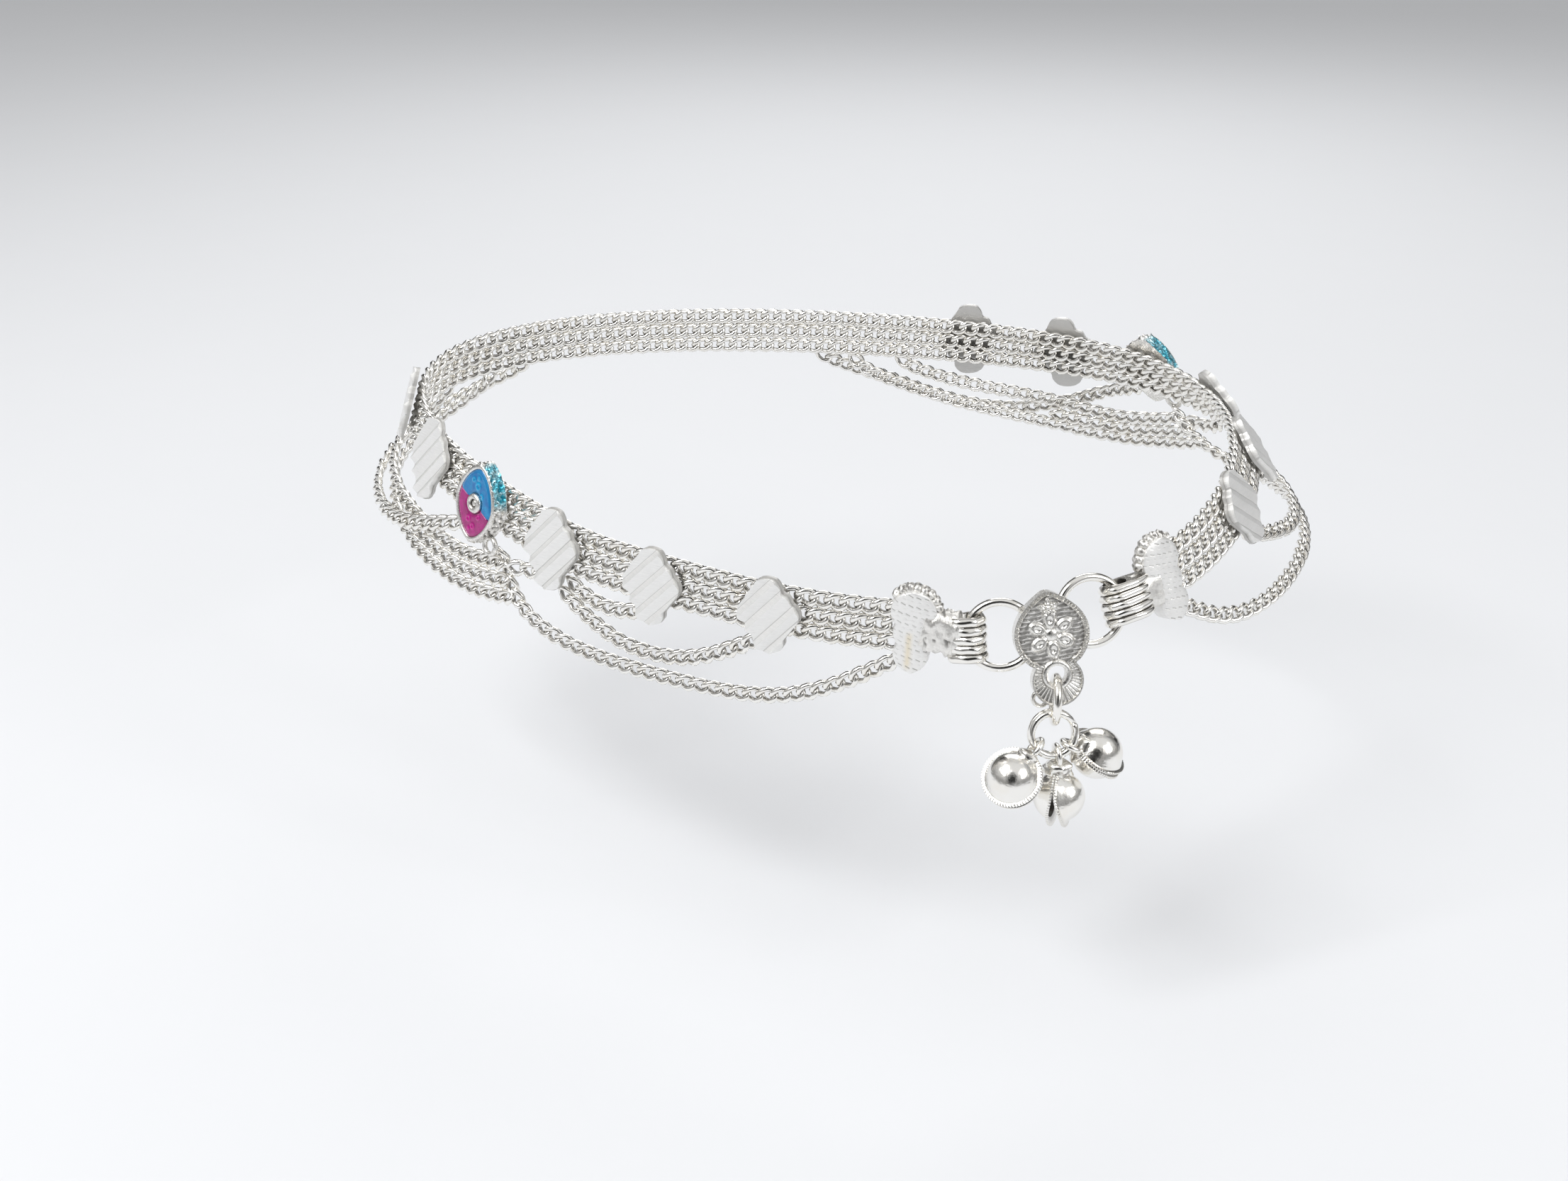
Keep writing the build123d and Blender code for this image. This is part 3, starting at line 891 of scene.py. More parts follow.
@dataclass
class Palette:
    """Every finish of the anklet, made once."""

    chain: bpy.types.Material
    plate: bpy.types.Material
    cap: bpy.types.Material
    solder: bpy.types.Material
    cast: bpy.types.Material
    charm: bpy.types.Material
    ring: bpy.types.Material
    bell: bpy.types.Material
    blue: bpy.types.Material
    rose: bpy.types.Material

    @classmethod
    def mixed(cls) -> "Palette":
        """Makes all the materials."""
        return cls(
            chain=PolishedSilver("chain_silver", roughness=0.12, cloud=0.12).material(),
            plate=FrostedSilver().material(),
            cap=FrostedSilver("cap_silver", streaks=0.1, brush_depth=0.02).material(),
            solder=CastSilver(
                "solder_silver", roughness=0.26, skin=0.06, pitted=0.15, oxide_and_shade_share=0.8
            ).material(),
            cast=CastSilver().material(),
            charm=CastSilver(
                "charm_silver", roughness=0.15, skin=0.03, pitted=0.1, oxide_and_shade_share=0.75
            ).material(),
            ring=PolishedSilver("ring_silver", roughness=0.08, cloud=0.08, dent=0.01).material(),
            bell=PolishedSilver("bell_silver", roughness=0.11, cloud=0.13, dent=0.03).material(),
            blue=Enamel("blue_enamel", colour(0.0, 0.14, 0.42), colour(0.0, 0.40, 0.72)).material(),
            rose=Enamel("rose_enamel", colour(0.26, 0.0, 0.12), colour(0.62, 0.0, 0.30)).material(),
        )


def finish_piece(
    node: str,
    part: str,
    surface: Surface,
    material: bpy.types.Material,
    body: str = "anklet",
    sharp: float = 180.0,
    weld: bool = False,
) -> None:
    """Gives a surface to Blender as a finished piece of the anklet.

    Args:
        node: The CAD node that the piece replaces, alone or with others.
        part: What the piece is of it; the piece is named after both.
        surface: Its surface, in millimetres.
        material: Its finish.
        body: The CAD body that it moves with.
        sharp: Edges bent by more than this many degrees stay crisp.
        weld: Whether points that lie in one place are made one.
    """
    name = f"{node}_{part}"
    mesh = bpy.data.meshes.new(name)
    count = len(surface.quads)
    mesh.vertices.add(len(surface.points))
    mesh.vertices.foreach_set("co", (surface.points * MM).astype(np.float32).ravel())
    mesh.loops.add(4 * count)
    mesh.loops.foreach_set("vertex_index", surface.quads.astype(np.int32).ravel())
    mesh.polygons.add(count)
    mesh.polygons.foreach_set("loop_start", np.arange(0, 4 * count, 4, dtype=np.int32))
    mesh.update(calc_edges=True)
    for mark in ("nook", "tint"):
        layer = mesh.attributes.new(mark, "FLOAT", "POINT")
        layer.data.foreach_set("value", getattr(surface, mark).astype(np.float32))
    uv = mesh.uv_layers.new(name="face")
    uv.data.foreach_set("uv", surface.flat[surface.quads.ravel()].astype(np.float32).ravel())
    if weld:
        work = bmesh.new()
        work.from_mesh(mesh)
        bmesh.ops.remove_doubles(work, verts=work.verts, dist=WELD * MM)
        bmesh.ops.dissolve_degenerate(work, edges=work.edges, dist=WELD * MM)
        work.to_mesh(mesh)
        work.free()
    mesh.validate()
    mesh.polygons.foreach_set("use_smooth", np.ones(len(mesh.polygons), dtype=bool))
    mesh.set_sharp_from_angle(angle=math.radians(sharp))
    mesh.materials.append(material)
    piece = bpy.data.objects.new(name, mesh)
    bpy.context.scene.collection.objects.link(piece)
    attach(piece, body)
    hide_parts(node)
    log.info("%s: %d faces", name, len(mesh.polygons))


# --------------------------------------------------------------------------- chains


@dataclass(frozen=True)
class CurbLink:
    """One link of curb chain: an oval of round wire twisted about the chain's line, so that its
    left end stands forward at the top and its right end at the bottom.

    With t round the oval, its middle line is x = half_length cos t and a distance half_width
    sin t from the x axis, turned about that axis by -twist cos t.
    """

    half_length: float = 1.12
    half_width: float = 0.73
    wire: float = 0.64
    twist: float = 45.0
    pitch: float = 1.6
    around: int = 14
    sides: int = 6

    def surface(self, size: float = 1.0) -> Surface:
        """The link about its own middle.

        Args:
            size: Its scale.

        Returns:
            Its surface, with the nook, a painted shade, on the inside of the oval.
        """
        t = np.linspace(0, TURN, self.around, endpoint=False)
        tilt = -math.radians(self.twist) * np.cos(t)
        reach = self.half_width * np.sin(t)
        path = np.stack([self.half_length * np.cos(t), reach * np.cos(tilt), reach * np.sin(tilt)], axis=-1)
        made = tube(path, self.wire / 2, self.sides, True, path)
        centre = np.repeat(path, self.sides, axis=0)
        # painted shade: the inner side of the oval wire is darkened, where the neighbouring links shade it
        inward = -dots(unit(made.points - centre), unit(centre))
        made.nook = smooth(0.0, 1.0, inward)
        return made.warped(made.points * size)


@dataclass
class Chain:
    """A run of curb chain along a route of (station, down, out) rows.

    The route is a clamped uniform cubic B-spline of its rows, so each point of it is a weighted
    mean of four of them, with its first and last row counted three times.

    Attributes:
        name: The node's name.
        route: Rows of station, down and out.
        link: Its link.
        size: The link's scale.
        phase: Share of a pitch by which the first link is shifted.
        sway: How far links swing about the line, in degrees.
        seed: Seed of the swings.
        steps: Points of the line for each row.
        ahead: Half the stretch from which a link takes its direction.
    """

    name: str
    route: Sequence[tuple[float, float, float]]
    link: CurbLink = field(default_factory=CurbLink)
    size: float = 1.0
    phase: float = 0.0
    sway: float = 4.0
    seed: int = 1
    steps: int = 24
    ahead: float = 0.3

    def line(self, loop: WearLoop) -> tuple[Array, Array]:
        """The chain's middle line.

        Args:
            loop: The wear loop.

        Returns:
            Stations and points, close together.
        """
        rows = np.array(self.route, float)
        rows = np.concatenate([rows[:1], rows[:1], rows, rows[-1:], rows[-1:]])
        t = np.linspace(0, 1, self.steps, endpoint=False)[None, :, None]
        weights = ((1 - t) ** 3, 3 * t**3 - 6 * t**2 + 4, 1 + 3 * t + 3 * t**2 - 3 * t**3, t**3)
        curve = sum(rows[k : len(rows) - 3 + k, None, :] * weight for k, weight in enumerate(weights)) / 6
        station, down, out = curve.reshape(-1, 3).T
        return station, loop.surface(station, down, out)

    def surface(self, loop: WearLoop) -> Surface:
        """Every link of the chain.

        Each link stands a pitch from the next along the line, facing outwards, and swings a
        little about the line.

        Args:
            loop: The wear loop.

        Returns:
            One surface for the whole chain.
        """
        station, line = self.line(loop)
        run = np.concatenate([[0.0], np.cumsum(np.linalg.norm(np.diff(line, axis=0), axis=-1))])
        pitch = self.link.pitch * self.size
        count = max(1, int(run[-1] / pitch))
        where = (np.arange(count) + 0.5 + self.phase) * run[-1] / count
        where = where[where < run[-1]]
        middle, before, after = (
            np.stack([np.interp(where + step, run, line[:, k]) for k in range(3)], axis=-1)
            for step in (0.0, -self.ahead, self.ahead)
        )
        along, _, outward = loop.axes(np.interp(where, run, station))
        forward = unit(after - before)
        forward = forward * np.sign(dots(forward, along))[:, None]
        outward = unit(outward - forward * dots(outward, forward)[:, None])
        swing = np.radians(np.random.default_rng(self.seed).normal(0, self.sway, len(where)))[:, None]
        outward, upward = swung(outward, np.cross(outward, forward), swing)
        link = self.link.surface(self.size)
        axes = np.stack([forward, upward, outward], axis=1)
        points = middle[:, None] + np.einsum("pk,nkj->npj", link.points, axes)
        quads = link.quads[None] + (np.arange(len(where)) * len(link.points))[:, None, None]
        return Surface(points.reshape(-1, 3), quads.reshape(-1, 4), nook=np.tile(link.nook, len(where)))


@dataclass
class ChainWork:
    """The band's three rows and the loose chains below it."""

    row_pitch: float = 1.95
    row_down: float = -0.3
    row_out: float = 0.25
    row_end: float = 14.2
    row_points: int = 60
    sag: tuple[float, float, float] = (52.0, 9.0, 0.7)
    rows: tuple[tuple[str, int], ...] = (("row_upper", -1), ("row_middle", 0), ("row_lower", 1))
    swags: dict[str, Triples] = field(
        default_factory=lambda: {
            "long_swag": (
                (14.0, 3.3, 0.3), (15.9, 4.3, 0.0), (19.5, 6.6, 0.0), (24.5, 9.3, 0.0), (30.0, 10.8, 0.0),
                (36.0, 11.2, 0.0), (42.0, 11.5, 0.0), (48.0, 11.8, 0.0), (54.0, 11.7, 0.0), (58.4, 10.7, 0.0),
                (60.6, 9.2, 0.0), (61.9, 7.4, 0.0), (62.9, 5.7, 0.1), (63.7, 4.7, 0.5),
            ),
            "middle_swag": (
                (28.4, 3.0, 0.2), (30.4, 4.3, 0.0), (33.0, 6.0, 0.0), (37.5, 8.4, 0.0), (42.0, 9.2, 0.0),
                (46.2, 9.1, 0.0), (49.4, 8.0, 0.0), (52.6, 6.7, 0.0), (54.4, 5.4, 0.2),
            ),
            "short_swag": (
                (41.4, 3.2, 0.2), (43.0, 4.2, 0.0), (45.5, 5.2, 0.0), (48.5, 5.7, 0.0), (51.6, 5.0, 0.0),
                (53.4, 4.0, 0.2),
            ),
            "gather_swag": (
                (55.4, 3.4, 0.2), (56.8, 4.4, 0.0), (58.2, 5.2, 0.0), (60.4, 5.5, 0.0), (61.8, 5.9, 0.4),
            ),
            "heel_lower_swag": (
                (61.0, 9.3, 0.5), (62.6, 10.0, 0.0), (66.0, 10.8, 0.0), (69.5, 11.4, 0.0), (74.0, 11.4, 0.3),
                (78.0, 11.0, 0.6), (83.0, 10.2, 0.8), (88.0, 9.4, 0.8), (92.5, 8.4, 0.8), (97.0, 7.0, 0.6),
                (101.0, 5.6, 0.2), (103.8, 4.3, 0.1), (105.4, 2.9, 0.5),
            ),
            "heel_middle_swag": (
                (62.0, 7.6, 0.5), (63.4, 8.2, 0.0), (66.4, 8.9, 0.0), (70.0, 9.7, 0.0), (74.6, 9.6, 0.3),
                (79.5, 9.2, 0.6),
            ),
            "heel_inner_swag": (
                (63.2, 6.0, 0.5), (64.8, 6.5, 0.0), (67.4, 7.2, 0.0), (70.6, 7.9, 0.0), (75.0, 7.8, 0.5),
                (80.0, 7.3, 1.2), (85.0, 7.0, 1.6), (90.0, 6.4, 1.6), (94.0, 5.2, 1.0), (97.6, 3.9, 0.4),
                (99.4, 2.7, 0.6),
            ),
            "heel_cross_swag": (
                (68.6, 3.4, 1.0), (70.2, 4.2, 1.4), (72.0, 5.0, 1.9), (75.5, 7.0, 2.4), (80.0, 9.2, 2.6),
                (85.0, 10.2, 2.7), (90.0, 10.0, 2.8), (95.0, 8.6, 2.6), (100.0, 6.6, 2.2), (104.0, 5.2, 1.7),
                (108.0, 3.8, 1.0), (109.8, 2.6, 0.7),
            ),
        }
    )
    toe_swags: dict[str, Triples] = field(
        default_factory=lambda: {
            "long_swag": (
                (14.0, 3.3, 0.3), (15.9, 4.8, 0.0), (19.5, 8.2, 0.3), (24.5, 9.9, 0.8), (30.0, 10.8, 1.0),
                (36.0, 11.3, 1.5), (42.0, 11.3, 1.6), (48.0, 11.2, 1.0), (54.0, 11.1, 0.3), (58.4, 10.4, 0.0),
                (60.6, 9.2, 0.0), (61.9, 7.4, 0.0), (62.9, 5.7, 0.1), (63.7, 4.7, 0.5),
            ),
            "middle_swag": (
                (28.4, 3.2, 0.2), (30.4, 4.6, 0.2), (33.0, 6.3, 0.6), (37.5, 8.8, 1.3), (42.0, 9.3, 1.6),
                (46.2, 8.8, 1.5), (49.4, 7.8, 0.8), (52.6, 6.7, 0.0), (54.4, 5.4, 0.2),
            ),
        }
    )
    swag_link: CurbLink = CurbLink(half_length=1.09, half_width=0.69, wire=0.58)

    def build(self, loop: WearLoop, palette: Palette) -> None:
        """Makes every chain.

        Args:
            loop: The wear loop.
            palette: The finishes.
        """
        stations = np.linspace(self.row_end, loop.length - self.row_end, self.row_points)
        middle, reach, depth = self.sag
        from_clasp = np.minimum(stations, loop.length - stations)
        sag = depth * np.exp(-(((from_clasp - middle) / reach) ** 2))
        for name, place in self.rows:
            downs = self.row_down + place * self.row_pitch + sag
            route = [(station, down, self.row_out) for station, down in zip(stations, downs)]
            chain = Chain(name, route, phase=place / 3, sway=2.5, seed=11 + place)
            self.hand_over(chain, loop, palette)
        for number, (name, rows) in enumerate(self.swags.items()):
            for side in Side:
                own = self.toe_swags.get(name, rows) if side is Side.TOE else rows
                route = [(side.value * station, down, out) for station, down, out in own]
                seed = 40 + 2 * number + (side is Side.TOE)
                chain = Chain(f"{name}_{side.word}", route, self.swag_link, sway=5.0, seed=seed)
                self.hand_over(chain, loop, palette)

    def hand_over(self, chain: Chain, loop: WearLoop, palette: Palette) -> None:
        """Finishes one chain, which stands for the node of its name."""
        finish_piece(chain.name, "links", chain.surface(loop), palette.chain)


# --------------------------------------------------------------------------- plates and motifs


@dataclass
class Plates:
    """The cast plates across the band: a thin foot, a body set in from it, and a top cut in
    slanting facets, each a long gentle slope and a short steep one.

    Each of the stations gives a plate's name, its distance from the clasp, how far below the
    band's middle it lies, its roll, and its size beside the smallest plate.
    """

    outline: tuple[tuple[float, float], ...] = (
        (0.0, 4.3), (0.95, 4.1), (1.5, 3.4), (1.7, 2.75), (2.4, 2.3), (2.75, 1.55), (3.3, 1.05), (3.6, 0.2),
        (3.35, -0.65), (2.75, -1.2), (2.5, -1.95), (1.9, -2.5), (1.8, -3.3), (1.15, -4.1), (0.0, -4.35),
    )
    back: float = 1.0
    thickness: float = 0.95
    step: float = 0.3
    set_in: float = 0.22
    skew: float = 0.12
    facet_slant: float = 48.0
    creases: tuple[float, ...] = (-2.6, -0.9, 0.9, 2.5)
    crease_shift: float = 0.2
    crease_edge: tuple[float, float] = (0.07, 0.02)
    steep_width: float = 0.6
    facet_depth: dict[Side, float] = field(default_factory=lambda: {Side.HEEL: 0.42, Side.TOE: 0.1})
    upper_fall: float = 0.05
    wear_size: float = 1.7
    wear_depth: float = 0.02
    oxide_and_shade: tuple[float, float] = (0.75, 0.7)
    stations: tuple[tuple[str, float, float, float, float], ...] = (
        ("near", 27.9, 0.0, 0.0, 1.0),
        ("second", 41.7, 0.4, 0.0, 1.03),
        ("third", 55.4, 0.9, 3.0, 1.1),
        ("fifth", 78.2, 0.0, 8.0, 1.14),
        ("sixth", 90.4, -0.3, 4.0, 1.1),
    )

    def build(self, loop: WearLoop, palette: Palette) -> None:
        """Makes every plate.

        Args:
            loop: The wear loop.
            palette: The finishes.
        """
        for side in Side:
            for number, (name, station, down, roll, scale) in enumerate(self.stations):
                place = loop.place(side.value * station, down, self.back, side.value * roll)
                piece = self.surface(side, scale, seed=7 * number + side.value).placed(place)
                node = f"plate_{name}_{side.word}"
                finish_piece(node, "cast", piece, palette.plate, sharp=14.0, weld=True)

    def surface(self, side: Side, scale: float, seed: int) -> Surface:
        """One plate about its own middle.

        Lines across the plate run along the facets, and its rows lie close together where the
        facets are creased. The top falls by the facets' depth over each steep stretch.

        Args:
            side: The half of the anklet; the facets slant the other way on the other half.
            scale: Size beside the smallest plate.
            seed: Seed of the small differences between plates.

        Returns:
            Its closed surface.
        """
        rng = np.random.default_rng(100 + seed)
        shift = rng.uniform(-self.crease_shift, self.crease_shift, len(self.creases))
        creases = np.array(self.creases) + shift
        curve = closed_curve(mirrored_outline(self.outline), 12) * scale
        curve[:, 1] += self.skew * curve[:, 0] * side.value
        slant = math.radians(self.facet_slant * side.value)
        turn = np.array([[math.cos(slant), -math.sin(slant)], [math.sin(slant), math.cos(slant)]])
        curve = curve @ turn
        top, bottom = curve[:, 1].max(), curve[:, 1].min()
        knots = [bottom, *np.sort(np.concatenate([creases - self.steep_width, creases])), top]
        rows = np.unique(np.concatenate([np.linspace(bottom, top, 46), knots]))
        walls = ((0.0, 0.0), (0.0, self.step), (self.set_in, self.step))
        depth = self.facet_depth[side]
        low, high = chords(curve, rows)
        made = slab(rows, low, high, 20, walls, lambda x, y: self.top(y, creases, bottom, top, depth))
        made.points[:, :2] = made.points[:, :2] @ turn.T
        made.flat = made.points[:, :2].copy()
        wear = grain(made.points, self.wear_size, 300 + seed)
        made.points[:, 2] += self.wear_depth * wear * (made.points[:, 2] > self.step * 1.5)
        across = made.points @ np.array([-math.sin(slant), math.cos(slant), 0.0])
        crease = smooth(*self.crease_edge, np.abs(across[:, None] - creases[None, :]).min(axis=1))
        # the foot and the lines of the creases are darkened
        foot_darkening, crease_darkening = self.oxide_and_shade
        made.nook = np.where(made.points[:, 2] < self.step * 1.3, foot_darkening, crease_darkening * crease)
        return made

    def top(self, y: Array, creases: Array, bottom: float, top: float, depth: float) -> Array:
        """Height of the facets at y, across them.

        Args:
            y: Where.
            creases: The lowest line of each facet.
            bottom: The plate's lower end.
            top: The plate's upper end.
            depth: How far the top falls at each crease.

        Returns:
            Heights above the plate's back.
        """
        places, heights = [bottom], [self.thickness - depth]
        for crease in creases:
            places += [crease - self.steep_width, crease]
            heights += [self.thickness, self.thickness - depth]
        return np.interp(y, places + [top], heights + [self.thickness - self.upper_fall])


def chords(curve: Array, rows: Array) -> tuple[Array, Array]:
    """Where level lines cross a closed curve.

    The curve is cut at its highest and lowest points into a left and a right run, and x is read
    off each run at each row.

    Args:
        curve: Points of the curve, x and y.
        rows: The y of each line.

    Returns:
        The left and the right end of each line.
    """
    start = int(curve[:, 1].argmin())
    curve = np.roll(curve, -start, axis=0)
    peak = int(curve[:, 1].argmax())
    ends = []
    for run in (curve[: peak + 1], np.concatenate([curve[peak:], curve[:1]])[::-1]):
        rising = np.maximum.accumulate(run[:, 1])
        ends.append(np.interp(rows, rising, run[:, 0]))
    return np.minimum(*ends), np.maximum(*ends)


@dataclass
class Motifs:
    """The enamel motifs: a tall boss with granular flanks, a raised border, two fields of enamel
    and a bright rivet, and a lug for the chains.

    Pairs give the width and the height of a form, and each curl gives where it lies on the face
    and its radius.
    """

    station: float = 66.7
    back: float = 1.0
    base: tuple[float, float] = (7.7, 9.6)
    face: tuple[float, float] = (6.8, 9.0)
    power: float = 1.65
    height: float = 1.6
    tray_depth: float = 0.35
    border: float = 0.45
    soft: float = 0.08
    rings: int = 16
    grit_depth: float = 0.035
    rivet: float = 1.15
    rivet_ridge: tuple[float, float] = (0.36, 0.32)
    rivet_bead: tuple[float, float] = (0.4, 0.16)
    lug: tuple[float, float, float] = (2.6, -4.2, 0.4)
    lug_size: tuple[float, float] = (0.92, 0.6)
    field_turn: float = 20.0
    fill: tuple[float, float] = (0.16, 0.14)
    curl_width: float = 0.09
    upper_curls: Triples = ((0.2, 2.1, 0.34), (1.0, 1.1, 0.28), (-0.7, 2.6, 0.22), (0.1, 3.0, 0.16))
    lower_curls: Triples = ((-0.5, -2.0, 0.30), (0.4, -2.6, 0.26), (-0.2, -3.1, 0.14), (1.1, -1.3, 0.22))

    def build(self, loop: WearLoop, palette: Palette) -> None:
        """Makes both motifs.

        Args:
            loop: The wear loop.
            palette: The finishes.
        """
        fields = ((1, "blue", palette.blue, Slot.BLUE), (-1, "rose", palette.rose, Slot.ROSE))
        for side in Side:
            place = loop.place(side.value * self.station, out=self.back)
            cast = joined([self.boss(side), self.button(), self.eye(side)]).placed(place)
            finish_piece(f"motif_{side.word}", "cast", cast, palette.cast, sharp=50.0, weld=True)
            for half, word, material, slot in fields:
                fill = self.enamel(side, half).placed(place)
                finish_piece(f"enamel_{word}_{side.word}", "fill", fill, material, weld=True)

    def reach(self, turn: Array, width: float, height: float, waves: float = 0.0) -> Array:
        """Distance from the middle to a round-cornered lozenge.

        The radius is a power mean of the two half sizes, times one plus a small cosine. A power of
        1 gives straight sides, and 2 gives an ellipse.

        Args:
            turn: Directions.
            width: Width of the lozenge.
            height: Height of the lozenge.
            waves: Height of the eight soft waves round it.

        Returns:
            A distance for each direction.
        """
        across = (np.abs(np.cos(turn)) * 2 / width) ** self.power
        along = (np.abs(np.sin(turn)) * 2 / height) ** self.power
        return (across + along) ** (-1 / self.power) * (1 + waves * np.cos(8 * turn))

    def boss(self, side: Side) -> Surface:
        """The boss: rings round its middle go from its back up the flank, over the border, down
        into the tray and across its floor.

        Args:
            side: The half of the anklet, because the flank towards the clasp is the sprayed one.

        Returns:
            Its closed surface.
        """
        turn = np.linspace(0, TURN, 144, endpoint=False)[None, :]
        foot = self.reach(turn, *self.base, 0.02)
        rim = self.reach(turn, *self.face)
        inner = rim - self.border
        share = np.linspace(0, 1, self.rings)[:, None]
        flank = foot + (rim - foot) * share**0.8
        upper, floor = self.height - self.soft, self.height - self.tray_depth
        border = [rim - self.soft, inner + self.soft, inner, inner - 0.02, 0.02 * rim]
        radius = np.concatenate([0.02 * foot, foot * 0.98, flank, *border])
        levels = [0.0, 0.0, *(share[:, 0] * upper), self.height, self.height, upper, floor, floor]
        made = over_grid(polar(radius, turn, np.array(levels)[:, None]), False, True)
        on_flank = np.zeros(radius.shape)
        on_flank[3 : self.rings + 1] = 1.0
        on_flank = on_flank.ravel()
        grit = grain(made.points, 0.55, 21) + 0.6 * grain(made.points, 0.3, 22)
        made.points[:, :2] *= (1 + self.grit_depth * grit * on_flank)[:, None]
        made.nook = on_flank * smooth(0.1, -1.2, grit) * 0.9
        upper = smooth(0.2, 1.2, made.points[:, 1])
        toward = smooth(-0.3, 0.8, side.value * made.points[:, 0])
        made.tint = on_flank * upper * toward * 0.9
        return made

    def button(self) -> Surface:
        """The bright rivet in the middle of the tray: a round ridge, whose section is half a
        circle, about a low bead."""
        turn = np.linspace(0, TURN, 40, endpoint=False)[None, :]
        half, ridge_height = self.rivet_ridge
        bead_radius, bead_height = self.rivet_bead
        over = self.rivet - half * (1 - np.cos(np.linspace(0, math.pi, 13)))
        radius = np.concatenate([[self.rivet], over, np.linspace(bead_radius, 0.01, 7)])
        ridge = ridge_height * np.sqrt(np.clip(1 - ((radius - self.rivet + half) / half) ** 2, 0, 1))
        bead = bead_height * np.sqrt(np.clip(1 - (radius / bead_radius) ** 2, 0, 1))
        floor = self.height - self.tray_depth
        level = floor + ridge_height + np.maximum(ridge, bead)
        level[0] = floor - 0.1
        pit = smooth(0.2, 0.0, np.abs(radius - 0.42))[:, None]
        return over_grid(polar(radius[:, None], turn, level[:, None]), False, True, 0.9 * pit)

    def eye(self, side: Side) -> Surface:
        """The lug's ring, below the boss."""
        ring = hoop(*self.lug_size, 32, 10)
        return ring.warped(ring.points + np.array([side.value, 1, 1]) * self.lug)

    def enamel(self, side: Side, half: int) -> Surface:
        """One field of enamel: a polar grid over its half of the tray, with a full edge, and
        small curls that stand out of it.

        Args:
            side: The half of the anklet.
            half: 1 for the upper field and -1 for the lower one.

        Returns:
            Its closed surface.
        """
        start = -self.field_turn * side.value + (0 if half > 0 else 180)
        turn = np.radians(np.linspace(start + 1.0, start + 179.0, 90))[:, None]
        outer = self.reach(turn, *(size - 2 * self.border for size in self.face)) - 0.04
        inner = self.rivet + 0.04
        share = np.concatenate([[0.0, 0.0], np.linspace(0, 1, 26), [1.0, 1.0]])[None, :]
        radius = inner + (outer - inner) * share
        grid = polar(radius, turn, self.height - self.tray_depth + 0.05)
        floor = grid[0, 0, 2]
        least, more = self.fill
        curls = self.curls(grid[..., 0], grid[..., 1], half)
        level = grid[..., 2]
        level += least + more * smooth(0.0, 0.35, np.minimum(radius - inner, outer - radius)) + 0.09 * curls
        level[:, 0] = level[:, -1] = floor
        level[:, 1] = level[:, -2] = floor + 0.12
        thick = np.clip(0.75 - 0.75 * curls, 0, 1)
        grid, thick = (np.concatenate([rows[:1], rows, rows[-1:]]) for rows in (grid, thick))
        grid[0, :, 2] = grid[-1, :, 2] = floor
        return over_grid(grid, False, True, thick)

    def curls(self, x: Array, y: Array, half: int) -> Array:
        """Small raised rings and beads in the enamel.

        Each is a soft ridge at a set distance from its own middle.

        Args:
            x: Places across the face.
            y: Places up the face.
            half: Which field.

        Returns:
            Heights from 0 to 1.
        """
        height = np.zeros_like(x)
        for across, up, ring in self.upper_curls if half > 0 else self.lower_curls:
            distance = np.hypot(x - across, y - up)
            height = np.maximum(height, np.exp(-(((distance - ring) / self.curl_width) ** 2)))
        return height


# --------------------------------------------------------------------------- clasp


